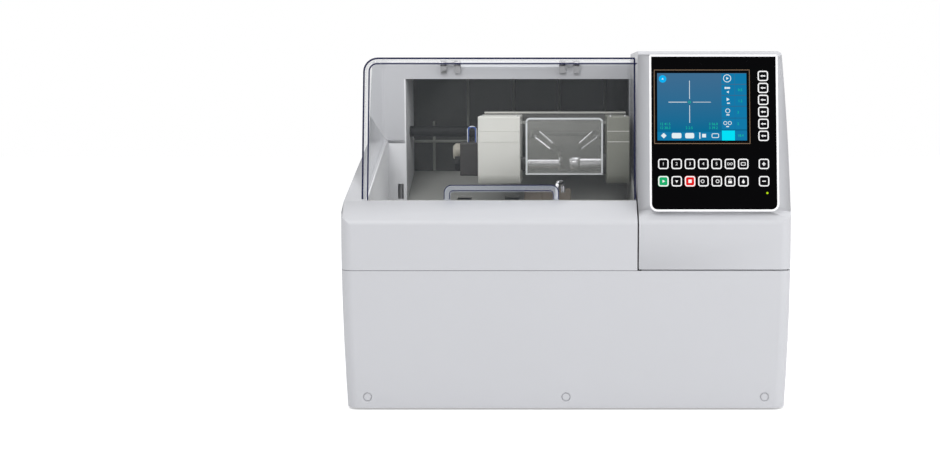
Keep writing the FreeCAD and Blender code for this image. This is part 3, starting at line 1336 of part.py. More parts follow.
def make_back_panel():
    body = new_body("back_panel_body")
    pad(body, "back_sheet", "XZ",
        [rectangle("-panel_cutout_half - plate_margin", "panel_cutout_base - plate_margin",
                   "panel_cutout_half + plate_margin",
                   "panel_cutout_top + plate_margin", "plate_margin / 2")], "plate_thickness", "-plate_back")
    louvre = pocket(body, "louvre_slot", "XZ",
                    [rectangle("louvre_left", "louvre_base", "louvre_left + louvre_width",
                               "louvre_base + louvre_height",
                               "louvre_height / 3")], "plate_thickness + overrun",
                    "-plate_back - overrun / 2", reverse=True)
    repeat(body, "louvre_slots", louvre, "Z", "louvre_pitch", "louvre_count")
    pocket(body, "switch_hole", "XZ",
           [rectangle("switch_across - switch_width / 2 - switch_gap",
                      "switch_up - switch_radius - switch_gap",
                      "switch_across + switch_width / 2 + switch_gap",
                      "switch_up + switch_radius + switch_gap")],
           "plate_thickness + overrun", "-plate_back - overrun / 2", reverse=True)
    keep(body, "back_panel")


def make_rear_fittings():
    inlet = block("inlet_shell", ("inlet_across - inlet_width / 2", "inlet_across + inlet_width / 2"),
                  ("plate_back", "plate_back + inlet_depth"),
                  ("inlet_up - inlet_height / 2", "inlet_up + inlet_height / 2"))
    inlet_hole = block("inlet_hole", ("inlet_across - inlet_hole_width / 2",
                                      "inlet_across + inlet_hole_width / 2"),
                       ("plate_back + inlet_depth - inlet_hole_depth", "plate_back + inlet_depth + overrun"),
                       ("inlet_up - inlet_hole_height / 2", "inlet_up + inlet_hole_height / 2"))
    fittings = [cut("power_inlet", inlet, inlet_hole)]
    for index in range(2):
        across = f"(port_across + port_pitch * {index})"
        shell = block("port_shell", (f"{across} - port_width / 2", f"{across} + port_width / 2"),
                      ("plate_back", "plate_back + port_depth"),
                      ("port_up - port_height / 2", "port_up + port_height / 2"))
        hole = block("port_hole", (f"{across} - port_width / 2 + port_bore / 2",
                                   f"{across} + port_width / 2 - port_bore / 2"),
                     ("plate_back + port_depth - port_bore", "plate_back + port_depth + overrun"),
                     ("port_up - port_height / 2 + port_bore / 2",
                      "port_up + port_height / 2 - port_bore / 2"))
        fittings.append(cut("data_port", shell, hole))
    keep(group("rear_fittings", *fittings), "rear_connectors")
    tails = []
    for index, radius in enumerate(("supply_radius", "drain_tail_radius")):
        bore = f"{radius} * tail_bore_share"
        tails.append(turned("hose_tail", "Y",
                            [("plate_back", bore), ("plate_back", f"{radius} + tail_flange_spare"),
                             ("plate_back + tail_flange", f"{radius} + tail_flange_spare"),
                             ("plate_back + tail_flange", radius), ("rear_end", radius), ("rear_end", bore)],
                            (f"tail_across + tail_pitch * {index}", "tail_up")))
    keep(group("hose_tail_pair", *tails), "hose_tails")


def make_power_switch():
    centre = ("back", "switch_up")
    drum = rod("rocker_drum", "X", "switch_radius",
               ("switch_across - switch_width / 2", "switch_across + switch_width / 2"), centre)
    lean = "switch_radius * tan(rocker_lean)"
    face = prism("rocker_face", "YZ",
                 [[("plate_back + switch_recess", "switch_up - switch_radius - overrun"),
                   ("back + switch_radius * 2", "switch_up - switch_radius - overrun"),
                   ("back + switch_radius * 2", "switch_up + switch_radius + overrun"),
                   (f"plate_back + switch_recess + {lean}", "switch_up + switch_radius + overrun"),
                   ("plate_back + switch_recess", "switch_up")]],
                 ("switch_across - switch_width", "switch_across + switch_width"))
    keep(cut("rocker", drum, face), "power_switch")


make_feet()
make_base_pan()
make_lower_housing()
make_upper_housing()
make_console_housing()
make_overlay()
make_keys()
make_screen()
make_control_board()
make_drip_tray()
make_chamber_liner()
make_hood()
make_hood_handle()
make_hinges()
make_grinding_unit()
make_pivot()
make_carriage()
make_arm_covers()
make_chuck_drive()
make_shield()
make_feelers()
make_nozzle()
make_cable_loop()
make_back_panel()
make_rear_fittings()
make_power_switch()


def write_pieces():
    """Check every object, then write one file for each piece."""
    doc.recompute()
    faults = [thing.Label for thing in doc.Objects if "Invalid" in thing.State or "Error" in thing.State]
    faults += [piece.Label for piece in pieces if piece.Shape.isNull() or not piece.Shape.isValid()]
    if faults:
        raise ValueError("faulty objects: " + ", ".join(faults))
    os.makedirs("parts", exist_ok=True)
    for piece in pieces:
        piece.Shape.exportStep(os.path.join("parts", piece.Label + ".step"))
        box = piece.Shape.BoundBox
        print(f"{piece.Label:20s} solids {len(piece.Shape.Solids)} volume {piece.Shape.Volume:12.1f} "
              f"x {box.XMin:7.1f} {box.XMax:7.1f} y {box.YMin:7.1f} {box.YMax:7.1f} "
              f"z {box.ZMin:7.1f} {box.ZMax:7.1f}")


write_pieces()
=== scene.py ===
"""Looks of a bench lens edger: moulded housing, clear hood, grinding chamber and control panel."""
import json
import math

import bmesh
import bpy
from mathutils import Matrix, Vector


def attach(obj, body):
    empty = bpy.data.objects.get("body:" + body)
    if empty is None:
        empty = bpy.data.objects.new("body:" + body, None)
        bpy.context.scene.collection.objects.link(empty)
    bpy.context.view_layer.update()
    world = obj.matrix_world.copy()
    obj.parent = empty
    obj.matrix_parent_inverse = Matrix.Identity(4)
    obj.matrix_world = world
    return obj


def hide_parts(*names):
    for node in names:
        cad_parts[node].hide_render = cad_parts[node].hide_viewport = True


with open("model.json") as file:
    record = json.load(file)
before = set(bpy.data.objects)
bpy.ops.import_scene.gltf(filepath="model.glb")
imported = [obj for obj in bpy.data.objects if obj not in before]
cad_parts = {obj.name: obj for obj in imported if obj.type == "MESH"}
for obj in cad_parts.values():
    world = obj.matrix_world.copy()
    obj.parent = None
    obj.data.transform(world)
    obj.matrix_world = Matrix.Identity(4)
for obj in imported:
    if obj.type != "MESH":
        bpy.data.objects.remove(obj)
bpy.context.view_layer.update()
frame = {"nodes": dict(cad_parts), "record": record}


# The table top, the light and the camera. A seamless white sweep under three large soft lamps, seen from
# a little above the machine's middle, with the camera tilted down by about six degrees.

SWEEP_HALF, SWEEP_LIFT = 6.0, 0.42
WORLD_ON_MACHINE = 0.62
KEY_LAMP = ((-0.8, -1.9, 2.1), (0, 0, 0.25), 1.2, 24)
TOP_LAMP = ((0.5, 0.3, 2.6), (0, 0, 0.3), 1.6, 13)
FILL_LAMP = ((2.0, -1.3, 1.1), (0.2, 0, 0.25), 1.4, 22)
CAMERA_PLACE = (0.0, -2.019, 0.4215)
CAMERA_TILT = math.radians(90 - 6.2)
CAMERA_LENS = 53.54
CAMERA_SHIFT = -96 / 940


def linear(code):
    """Linear red, green, blue and alpha of an sRGB hex colour."""
    parts = [int(code[start:start + 2], 16) / 255 for start in (0, 2, 4)]
    return [part / 12.92 if part <= 0.04045 else ((part + 0.055) / 1.055) ** 2.4 for part in parts] + [1.0]


def add_node(tree, kind, inputs=(), **settings):
    """Add a node with its settings; an input is a value, or the output that feeds it."""
    made = tree.nodes.new(kind)
    for key, value in settings.items():
        setattr(made, key, value)
    for socket, value in dict(inputs).items():
        if isinstance(value, bpy.types.NodeSocket):
            tree.links.new(value, made.inputs[socket])
        else:
            made.inputs[socket].default_value = value
    return made


def empty_material(name):
    material = bpy.data.materials.new(name)
    material.use_nodes = True
    material.node_tree.nodes.clear()
    return material, material.node_tree


def sweep_paper():
    """Matt white paper: it shows the machine's soft shadow, and pure white further out."""
    material, tree = empty_material("sweep_paper")
    place = add_node(tree, "ShaderNodeTexCoord")
    fibre = add_node(tree, "ShaderNodeTexNoise", {"Vector": place.outputs["Object"], "Scale": 400.0})
    bump = add_node(tree, "ShaderNodeBump", {"Height": fibre.outputs["Fac"], "Distance": 0.0001})
    paper = add_node(tree, "ShaderNodeBsdfPrincipled", {"Base Color": linear("F6F6F7"), "Roughness": 0.9,
                                                       "Normal": bump.outputs["Normal"]})
    ray = add_node(tree, "ShaderNodeLightPath")
    lift = add_node(tree, "ShaderNodeMath", {0: ray.outputs["Is Camera Ray"], 1: SWEEP_LIFT},
                    operation="MULTIPLY")
    glow = add_node(tree, "ShaderNodeEmission", {"Color": linear("FFFFFF"), "Strength": lift.outputs[0]})
    both = add_node(tree, "ShaderNodeAddShader", {0: paper.outputs["BSDF"], 1: glow.outputs["Emission"]})
    add_node(tree, "ShaderNodeOutputMaterial", {"Surface": both.outputs["Shader"]})
    return material


sweep_shape = bmesh.new()
bmesh.ops.create_grid(sweep_shape, x_segments=1, y_segments=1, size=SWEEP_HALF)
sweep_mesh = bpy.data.meshes.new("sweep")
sweep_shape.to_mesh(sweep_mesh)
sweep_shape.free()
sweep = bpy.data.objects.new("sweep", sweep_mesh)
bpy.context.scene.collection.objects.link(sweep)
sweep.data.materials.append(sweep_paper())

world = bpy.data.worlds.new("studio")
bpy.context.scene.world = world
world.use_nodes = True
world.node_tree.nodes.clear()
ray = add_node(world.node_tree, "ShaderNodeLightPath")
seen = add_node(world.node_tree, "ShaderNodeMath", {0: ray.outputs["Is Camera Ray"],
                                                    1: ray.outputs["Is Glossy Ray"]}, operation="MAXIMUM")
seen = add_node(world.node_tree, "ShaderNodeMath", {0: seen.outputs[0],
                                                    1: ray.outputs["Is Transmission Ray"]},
                operation="MAXIMUM")
level = add_node(world.node_tree, "ShaderNodeMapRange", {"Value": seen.outputs[0], "To Min": WORLD_ON_MACHINE,
                                                         "To Max": 1.0})
sky = add_node(world.node_tree, "ShaderNodeBackground", {"Color": linear("FFFFFF"),
                                                         "Strength": level.outputs["Result"]})
add_node(world.node_tree, "ShaderNodeOutputWorld", {"Surface": sky.outputs["Background"]})


def soft_lamp(name, place, aim, size, power):
    """A square soft box aimed at a point."""
    lamp = bpy.data.lights.new(name, "AREA")
    lamp.size = size
    lamp.energy = power
    box = bpy.data.objects.new(name, lamp)
    box.location = place
    box.rotation_euler = (Vector(aim) - Vector(place)).to_track_quat("-Z", "Y").to_euler()
    bpy.context.scene.collection.objects.link(box)


soft_lamp("key_lamp", *KEY_LAMP)
soft_lamp("top_lamp", *TOP_LAMP)
soft_lamp("fill_lamp", *FILL_LAMP)

camera = bpy.data.objects.new("camera", bpy.data.cameras.new("camera"))
camera.data.lens = CAMERA_LENS
camera.data.shift_x = CAMERA_SHIFT
camera.location = CAMERA_PLACE
camera.rotation_euler = (CAMERA_TILT, 0, 0)
bpy.context.scene.collection.objects.link(camera)
bpy.context.scene.camera = camera
bpy.context.scene.view_settings.view_transform = "Standard"


# Housing mouldings: the lower and upper body and the control tower. Thick structural foam in light grey,
# sprayed with a fine textured paint. A dark strip in the seam is painted shadow for its gap, a slotted cheek
# and a reveal trim the chamber's doorway on its left in paint lightened against their shade, and a strip
# closes the tower behind.

WELD, SHARP_EDGE = 0.000002, math.radians(35)
SEAM_LOW, SEAM_HIGH, SEAM_PROUD = 0.18195, 0.18285, 0.00006
WALL_FRONT, WALL_BACK, REVEAL_BACK = 23, 26.5, 126.7
DOOR_LEFT, DOOR_TOP, REVEAL_WALL, REVEAL_BASE = -235, 427.5, 2, 245
CHEEK_LEFT, CHEEK_BASE, CHEEK_TOP = -262, 245.1, 339
SLOT_LEFT, SLOT_RIGHT, SLOT_BASE, SLOT_TOP = -246, -237.5, 253, 275
FLOOR_EDGE, FLOOR_SLOPE = 0.2483, 0.3617
TOWER_STRIP = ((95, 19.2, 446), (278.2, 22.2, 461))


def surface(name, colour, roughness, grain_mm, relief_mm, drift=0.05, stretch=(1, 1, 1), sockets=()):
    """A finish whose colour drifts a little over the piece and whose grain lifts the surface.

    The grain of paint and moulded plastic is finer in life, and is drawn as wide as it has to be to show.
    """
    material, tree = empty_material(name)
    place = add_node(tree, "ShaderNodeTexCoord")
    run = add_node(tree, "ShaderNodeMapping", {"Vector": place.outputs["Object"], "Scale": stretch})
    grain = add_node(tree, "ShaderNodeTexNoise", {"Vector": run.outputs["Vector"], "Scale": 1000 / grain_mm,
                                                  "Detail": 2.0})
    cloud = add_node(tree, "ShaderNodeTexNoise", {"Vector": place.outputs["Object"], "Scale": 14.0,
                                                  "Detail": 3.0})
    pale = linear(colour)
    deep = [channel * (1 - drift) for channel in pale[:3]] + [1.0]
    tint = add_node(tree, "ShaderNodeMix", {0: cloud.outputs["Fac"], 6: deep, 7: pale}, data_type="RGBA")
    gloss = add_node(tree, "ShaderNodeMapRange", {"Value": grain.outputs["Fac"], "To Min": roughness * 0.85,
                                                  "To Max": min(roughness * 1.15, 1.0)})
    bump = add_node(tree, "ShaderNodeBump", {"Height": grain.outputs["Fac"], "Distance": relief_mm / 1000})
    shader = add_node(tree, "ShaderNodeBsdfPrincipled", {"Base Color": tint.outputs[2],
                                                        "Roughness": gloss.outputs["Result"],
                                                        "Normal": bump.outputs["Normal"], **dict(sockets)})
    add_node(tree, "ShaderNodeOutputMaterial", {"Surface": shader.outputs["BSDF"]})
    return material


def finish_piece(shape, name, body, material):
    """Turn a bmesh into a piece that rides on a body, smooth except at its sharp edges."""
    mesh = bpy.data.meshes.new(name)
    shape.to_mesh(mesh)
    shape.free()
    for face in mesh.polygons:
        face.use_smooth = True
    mesh.set_sharp_from_angle(angle=SHARP_EDGE)
    mesh.materials.append(material)
    piece = bpy.data.objects.new(name, mesh)
    bpy.context.scene.collection.objects.link(piece)
    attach(piece, body)
    return piece


def brick(shape, low, high, edge=0.3):
    """A block between two corners in millimetres, its edges eased."""
    known = set(shape.edges)
    low, high = Vector(low) / 1000, Vector(high) / 1000
    bmesh.ops.create_cube(shape, size=1, matrix=Matrix.Translation((low + high) / 2)
                          @ Matrix.Diagonal((*(high - low), 1)))
    if edge:
        bmesh.ops.bevel(shape, geom=[item for item in shape.edges if item not in known], offset=edge / 1000,
                        offset_type="OFFSET", segments=2, profile=0.5, affect="EDGES", material=-1)


BODIES = {node: body for body, nodes in frame["record"]["behaviour"]["bodies"].items() for node in nodes}


def merged(node):
    """A copy of a CAD node's surface with its loose triangles joined."""
    shape = bmesh.new()
    shape.from_mesh(frame["nodes"][node].data)
    bmesh.ops.remove_doubles(shape, verts=shape.verts, dist=WELD)
    return shape


def stand_in(piece, node):
    """Even out a piece's shading and let it stand for a CAD node."""
    piece.modifiers.new("even_shading", "WEIGHTED_NORMAL").keep_sharp = True
    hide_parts(node)
    return piece


def dress(node, material, name):
    """A CAD node's surface, merged and smoothed; it stands for the node."""
    return stand_in(finish_piece(merged(node), name, BODIES[node], material), node)


def sliced(shape, place, away, clear=False):
    """Cut a whole shape along a plane; what lies on the far side may be cleared."""
    return bmesh.ops.bisect_plane(shape, geom=[*shape.verts, *shape.edges, *shape.faces], plane_co=place,
                                  plane_no=away, clear_outer=clear)["geom_cut"]


# Low gloss spray paint over foam: its fine orange peel spreads each highlight to a soft sheen.
housing_paint = surface("textured_housing_paint", "C2C3C7", 0.42, 0.7, 0.03, 0.02)
dress("lower_housing", housing_paint, "lower_shell")
dress("upper_housing", housing_paint, "upper_shell")
dress("console_housing", housing_paint, "control_tower_shell")

# Painted shadow: a thin dark grey strip standing proud in the seam between the two bodies, for the shade in
# their gap.
seam = merged("upper_housing")
sliced(seam, (0, 0, SEAM_LOW), (0, 0, -1), clear=True)
sliced(seam, (0, 0, SEAM_HIGH), (0, 0, 1), clear=True)
bmesh.ops.delete(seam, geom=[face for face in seam.faces if abs(face.normal.z) > 0.5], context="FACES")
for vert in seam.verts:
    vert.co += vert.normal * SEAM_PROUD
finish_piece(seam, "seam_painted_shadow", "housing", surface("seam_painted_shadow", "77787C", 0.7, 0.5, 0.002))

# Painted light: the same paint made lighter, so that the doorway stays pale in its own shade.
doorway_lightened_paint = surface("doorway_paint_lightened_against_shade", "F1F2F5", 0.45, 0.7, 0.02)
cheek = bmesh.new()
for left, low, right, high in ((CHEEK_LEFT, CHEEK_BASE, SLOT_LEFT, CHEEK_TOP),
                               (SLOT_RIGHT, CHEEK_BASE, DOOR_LEFT, CHEEK_TOP),
                               (SLOT_LEFT, SLOT_TOP, SLOT_RIGHT, CHEEK_TOP),
                               (SLOT_LEFT, CHEEK_BASE, SLOT_RIGHT, SLOT_BASE)):
    brick(cheek, (left, WALL_FRONT, low), (right, WALL_BACK, high), edge=0)
finish_piece(cheek, "door_cheek", "housing", doorway_lightened_paint)
reveal = bmesh.new()
brick(reveal, (DOOR_LEFT, WALL_FRONT, REVEAL_BASE), (DOOR_LEFT + REVEAL_WALL, REVEAL_BACK, DOOR_TOP), edge=0)
foot_cut = sliced(reveal, (0, WALL_FRONT / 1000, FLOOR_EDGE), (0, FLOOR_SLOPE, -1), clear=True)
bmesh.ops.edgeloop_fill(reveal, edges=[item for item in foot_cut if isinstance(item, bmesh.types.BMEdge)])
finish_piece(reveal, "door_reveal", "housing", doorway_lightened_paint)
strip = bmesh.new()
brick(strip, *TOWER_STRIP, edge=0)
finish_piece(strip, "tower_back_strip", "housing", housing_paint)


# Base pan and feet: a folded steel pan, powder coated and screwed up under the mouldings. It stands on
# four moulded rubber feet.

# Baked powder gives a dull, slightly pebbled dark grey.
pan_coat = surface("grey_powder_coat", "4C4E52", 0.6, 0.5, 0.05)
dress("base_pan", pan_coat, "folded_base_pan")
# Moulded rubber is nearly black and hardly shines.
foot_rubber = surface("black_rubber", "161616", 0.8, 0.3, 0.03)
dress("feet", foot_rubber, "rubber_feet")


# Chamber: a light grey drip tray and a dark liner, both moulded in plastic that coolant wipes clean.
# The front faces of the liner's ribs are painted paler than its walls, as a highlight.

RIB_FRONT, RIB_REACH, PAINTED_WALL = 0.127, 0.0005, -0.2535


def second_finish(piece, material, chosen):
    """Give a piece's chosen faces a second material."""
    piece.data.materials.append(material)
    for face in piece.data.polygons:
        if chosen(face):
            face.material_index = 1


# Moulded plastic, satin and a little grey from grinding dust.
tray_plastic = surface("moulded_tray_plastic", "A4A5A1", 0.45, 0.8, 0.02)
tray = dress("drip_tray", tray_plastic, "tray_moulding")
# Painted light: the tray's faces left of the wall edge take the lightened doorway paint, the housing's pale
# colour made lighter against their shade.
second_finish(tray, doorway_lightened_paint, lambda face: face.center.x < PAINTED_WALL)
# Dark moulded plastic with a soft sheen; the front faces of its ribs carry a painted highlight, paler.
liner_plastic = surface("dark_liner_plastic", "2F312C", 0.5, 0.8, 0.03)
liner = dress("chamber_liner", liner_plastic, "liner_moulding")
second_finish(liner, surface("rib_painted_highlight", "8B8E87", 0.5, 0.8, 0.03),
              lambda face: face.normal.y < -0.9 and abs(face.center.y - RIB_FRONT) < RIB_REACH)
# Bright chrome plate: clear highlights along each tube.
tube_chrome = surface("polished_chrome", "D0D0D4", 0.12, 2.0, 0.001, sockets={"Metallic": 1.0})
dress("coolant_nozzle", tube_chrome, "nozzle_tube")


# Carriage: a painted casting on a ground shaft, with satin covers on its two arms. Screws hold the
# covers, a light strip along the bridge's top edge is a painted highlight, and a green seal sits where the
# left chuck leaves its arm.

LOOP_MIDDLE, LOOP_HALF, LOOP_HEAD = -0.1295, 0.0055, 0.3615
COVER_TOP, SCREW_RADIUS, SCREW_HEIGHT = 377, 2.2, 1.2
SCREW_PLACES = ((-113.5, -112), (-67.5, -112), (60.5, -112), (80.5, -112))
BRIDGE_HIGHLIGHT = ((-116, -22.6, 378.6), (85, -22, 381))
SEAL_PLACE, SEAL_RADIUS, SEAL_WIDTH = (-54.2, -88, 311), 8.2, 1.4
NUT_END, FEELER_SHAFT_FRONT = -0.1448, -0.0434
PRONG_ROOT, PRONG_TIP, PRONG_RADIUS = (0.0375, -0.044, 0.3535), (0.0185, -0.061, 0.3375), 0.0016
HUB_OUTER, HUB_INNER, HUB_FRONT, HUB_BACK, HUB_BASE, HUB_TOP = 45.5, 35.5, -45.5, -35.5, 344.5, 356
RIDGE_PLACES, RIDGE_BEHIND, RIDGE_HALF = ((-131, 357), (-134, 343)), 1, 0.5
COVER_ENDS = ((-118.4, -62.6), (55.6, 85.4))


def wire_pair(name, outer, inner, middle, half, head):
    """Two sleeves side by side in one arch: the outer one's colour outside its centre line."""
    material, tree = empty_material(name)
    place = add_node(tree, "ShaderNodeTexCoord")
    split = add_node(tree, "ShaderNodeSeparateXYZ", {"Vector": place.outputs["Object"]})
    across = add_node(tree, "ShaderNodeMath", {0: split.outputs["X"], 1: middle}, operation="SUBTRACT")
    across = add_node(tree, "ShaderNodeMath", {0: across.outputs[0]}, operation="ABSOLUTE")
    within = add_node(tree, "ShaderNodeMath", {0: across.outputs[0], 1: half}, operation="LESS_THAN")
    under = add_node(tree, "ShaderNodeMath", {0: split.outputs["Z"], 1: head}, operation="LESS_THAN")
    both = add_node(tree, "ShaderNodeMath", {0: within.outputs[0], 1: under.outputs[0]}, operation="MULTIPLY")
    tint = add_node(tree, "ShaderNodeMix", {0: both.outputs[0], 6: linear(outer), 7: linear(inner)},
                    data_type="RGBA")
    shader = add_node(tree, "ShaderNodeBsdfPrincipled", {"Base Color": tint.outputs[2], "Roughness": 0.4})
    add_node(tree, "ShaderNodeOutputMaterial", {"Surface": shader.outputs["BSDF"]})
    return material


def stud(shape, place, radius, height, axis="Z", recess=True, sides=20):
    """A round head on a face: place is the face's point in millimetres, axis the way it looks."""
    turn = {"Z": Matrix(), "Y": Matrix.Rotation(-math.pi / 2, 4, "X"),
            "X": Matrix.Rotation(math.pi / 2, 4, "Y")}[axis]
    known = set(shape.faces)
    bmesh.ops.create_cone(shape, cap_ends=True, segments=sides, radius1=radius / 1000,
                          radius2=radius * 0.8 / 1000, depth=height / 1000,
                          matrix=Matrix.Translation(Vector(place) / 1000) @ turn
                          @ Matrix.Translation((0, 0, height / 2000)))
    if recess:
        out = turn @ Vector((0, 0, 1))
        caps = [face for face in shape.faces if face not in known and face.normal.dot(out) > 0.99]
        bmesh.ops.inset_region(shape, faces=caps, thickness=radius * 0.35 / 1000, depth=-height * 0.5 / 1000)


# Paint on a sand casting keeps the casting's coarse skin.
cast_paint = surface("casting_paint", "454542", 0.5, 1.2, 0.06)
dress("carriage_frame", cast_paint, "carriage_casting")
# Satin cream grey plastic; a darker, greener copy on the right cover is painted shade for the shadow it sits
# in.
arm_plastic = surface("arm_cover_plastic", "CFCFC9", 0.4, 0.7, 0.02)
dress("left_arm_cover", arm_plastic, "left_cover")
dress("right_arm_cover", surface("right_cover_painted_shade", "7C7D73", 0.42, 0.7, 0.02), "right_cover")
ridges = bmesh.new()
for left, right in COVER_ENDS:
    for deep, up in RIDGE_PLACES:
        brick(ridges, (left, deep - RIDGE_HALF, up - RIDGE_HALF),
              (right, deep + RIDGE_BEHIND, up + RIDGE_HALF), edge=0.2)
finish_piece(ridges, "cover_ridges", "carriage", arm_plastic)
# Ground steel shows fine marks that run across the machine; blackened steel swallows most of the light.
ground_steel = surface("ground_steel", "A8A8AA", 0.3, 0.4, 0.004, stretch=(0.02, 1, 1),
                       sockets={"Metallic": 1.0})
black_oxide = surface("black_oxide", "1E1F1F", 0.6, 0.5, 0.004, sockets={"Specular IOR Level": 0.25})
for node, name in (("shaft_uprights", "upright_plates"), ("wheel_spindle", "spindle_shaft"),
                   ("hinge_mounts", "hinge_knuckles")):
    dress(node, ground_steel, name)
for node, name in (("pivot_shaft", "pivot_bar"), ("traverse_slide", "slide_block")):
    dress(node, black_oxide, name)
for node, name in (("right_chuck", "right_chuck_head"), ("clamp_quill", "quill_sleeve")):
    dress(node, tube_chrome, name)
feelers = dress("feeler_arms", tube_chrome, "feeler_styli")
second_finish(feelers, black_oxide, lambda face: face.center.y > FEELER_SHAFT_FRONT)
prongs = bmesh.new()
hubs = bmesh.new()
for side in (-1, 1):
    root, tip = [Vector((side * across, deep, up)) for across, deep, up in (PRONG_ROOT, PRONG_TIP)]
    run = tip - root
    bmesh.ops.create_cone(prongs, cap_ends=True, segments=16, radius1=PRONG_RADIUS, radius2=PRONG_RADIUS,
                          depth=run.length, matrix=Matrix.Translation((root + tip) / 2)
                          @ run.to_track_quat("Z", "Y").to_matrix().to_4x4())
    left, right = sorted((side * HUB_OUTER, side * HUB_INNER))
    brick(hubs, (left, HUB_FRONT, HUB_BASE), (right, HUB_BACK, HUB_TOP), edge=1)
finish_piece(prongs, "feeler_prongs", "feelers", tube_chrome)
finish_piece(hubs, "feeler_hubs", "feelers", black_oxide)
chuck = dress("left_chuck", tube_chrome, "left_chuck_shaft")
second_finish(chuck, black_oxide, lambda face: face.center.x < NUT_END)
dress("lens_cup", foot_rubber, "rubber_cup")
# The drive box is dark glass filled plastic and its encoder cap plain cream; both are moulded and dull.
dress("chuck_motor", surface("gearbox_plastic", "1F1C1A", 0.5, 0.6, 0.02), "gearbox_case")
dress("chuck_encoder", surface("cream_plastic", "A39F92", 0.45, 0.6, 0.01), "encoder_cap")
# Two soft sleeves, one white and one blue, with a plain low gloss.
loop_sleeves = wire_pair("white_and_blue_sleeves", "D3D8DE", "1F4FA8", LOOP_MIDDLE, LOOP_HALF, LOOP_HEAD)
dress("cable_loop", loop_sleeves, "wire_loop")
screws = bmesh.new()
for across, deep in SCREW_PLACES:
    stud(screws, (across, deep, COVER_TOP), SCREW_RADIUS, SCREW_HEIGHT)
finish_piece(screws, "cover_screws", "carriage", ground_steel)
# Painted highlight: a thin strip of the light cover plastic along the bridge's top front edge, for the light
# that edge catches.
bridge_highlight = bmesh.new()
brick(bridge_highlight, *BRIDGE_HIGHLIGHT, edge=0.2)
finish_piece(bridge_highlight, "bridge_edge_painted_highlight", "carriage", arm_plastic)
seal = bmesh.new()
stud(seal, SEAL_PLACE, SEAL_RADIUS, SEAL_WIDTH, axis="X", recess=False, sides=32)
finish_piece(seal, "shaft_seal", "carriage", surface("green_seal_rubber", "1F8A4C", 0.5, 0.4, 0.01))
# Motor enamel is smooth and dark; the wheels are grit in sintered bronze, rough and brown.
dress("spindle_housing", cast_paint, "spindle_casting")
dress("main_motor", surface("motor_enamel", "1C1D20", 0.45, 0.8, 0.03), "motor_case")
dress("grinding_wheels", surface("sintered_grit", "6E655A", 0.7, 0.35, 0.08), "wheel_stack")


# Hood: one clear acrylic moulding with a clear handle bonded on. It is nearly open to the eye, but its
# rounded edges catch the room as dark blue lines, laid on as strips of painted reflection. It hangs by two
# leaves with a clear strip between them.

APRON_BACK, HOOD_FOOT = -0.207, 0.2688
HOOD_TILT = math.atan(37 / 186.2)
HOOD_LEFT, HOOD_RIGHT, HOOD_TOP, HOOD_CORNER, HOOD_ROUND = -267, 91.5, 189.8, 19, 8
HOOD_TOP_BEHIND, HOOD_HALFWAY = 191.4, 0.4
HOOD_BACK, HOOD_CREST, HOOD_LEAN, HOOD_HEEL, HOOD_WALL = 19, 455, 0.037, 0.06927, 0.003
HINGE_STARTS, HINGE_WIDTH, NOTCH_GAP, NOTCH_FRONT = (-181.6, -9.6), 29, 1, 12.5
LINE, LINE_FOOT, OUTER_DEEP, INNER_RISE, SHALLOW, FLUSH = 2.3, 0.5, 0.8, 0.6, 0.8, 0.12
HANDLE_LEFT, HANDLE_RIGHT, HANDLE_FOOT, HANDLE_TOP, HANDLE_BAR, HANDLE_REACH = -158, -9, 1, 20, 8, 12
HANDLE_CORNER, HANDLE_INSIDE, HANDLE_LINE = 10, 5, 1
SHADE_SHARE = 0.15
HINGE_STRIP = ((-151.6, 11.6, 444.5), (-10.6, 14.4, 452))


def clear_plastic(name, colour, face_cover, edge_cover, roughness=0.04):
    """Clear plastic: nearly open face on, and covering more at a glancing angle."""
    material, tree = empty_material(name)
    place = add_node(tree, "ShaderNodeTexCoord")
    ripple = add_node(tree, "ShaderNodeTexNoise", {"Vector": place.outputs["Object"], "Scale": 30.0})
    bump = add_node(tree, "ShaderNodeBump", {"Height": ripple.outputs["Fac"], "Distance": 0.00005})
    glance = add_node(tree, "ShaderNodeLayerWeight", {"Blend": 0.25})
    cover = add_node(tree, "ShaderNodeMapRange", {"Value": glance.outputs["Fresnel"], "To Min": face_cover,
                                                  "To Max": edge_cover})
    ray = add_node(tree, "ShaderNodeLightPath")
    open_light = add_node(tree, "ShaderNodeMapRange", {"Value": ray.outputs["Is Shadow Ray"], "To Min": 1.0,
                                                       "To Max": SHADE_SHARE})
    cover = add_node(tree, "ShaderNodeMath", {0: cover.outputs["Result"], 1: open_light.outputs["Result"]},
                     operation="MULTIPLY")
    shader = add_node(tree, "ShaderNodeBsdfPrincipled", {"Base Color": linear(colour), "Roughness": roughness,
                                                        "IOR": 1.49, "Alpha": cover.outputs[0],
                                                        "Normal": bump.outputs["Normal"]})
    add_node(tree, "ShaderNodeOutputMaterial", {"Surface": shader.outputs["BSDF"]})
    return material


def face_frame(deep, up, tilt):
    """A frame in millimetres on a face that leans back: X across, Y up along it and Z out of it."""
    return (Matrix.Translation((0.0, deep, up)) @ Matrix.Rotation(math.pi / 2 - tilt, 4, "X")
            @ Matrix.Scale(0.001, 4))


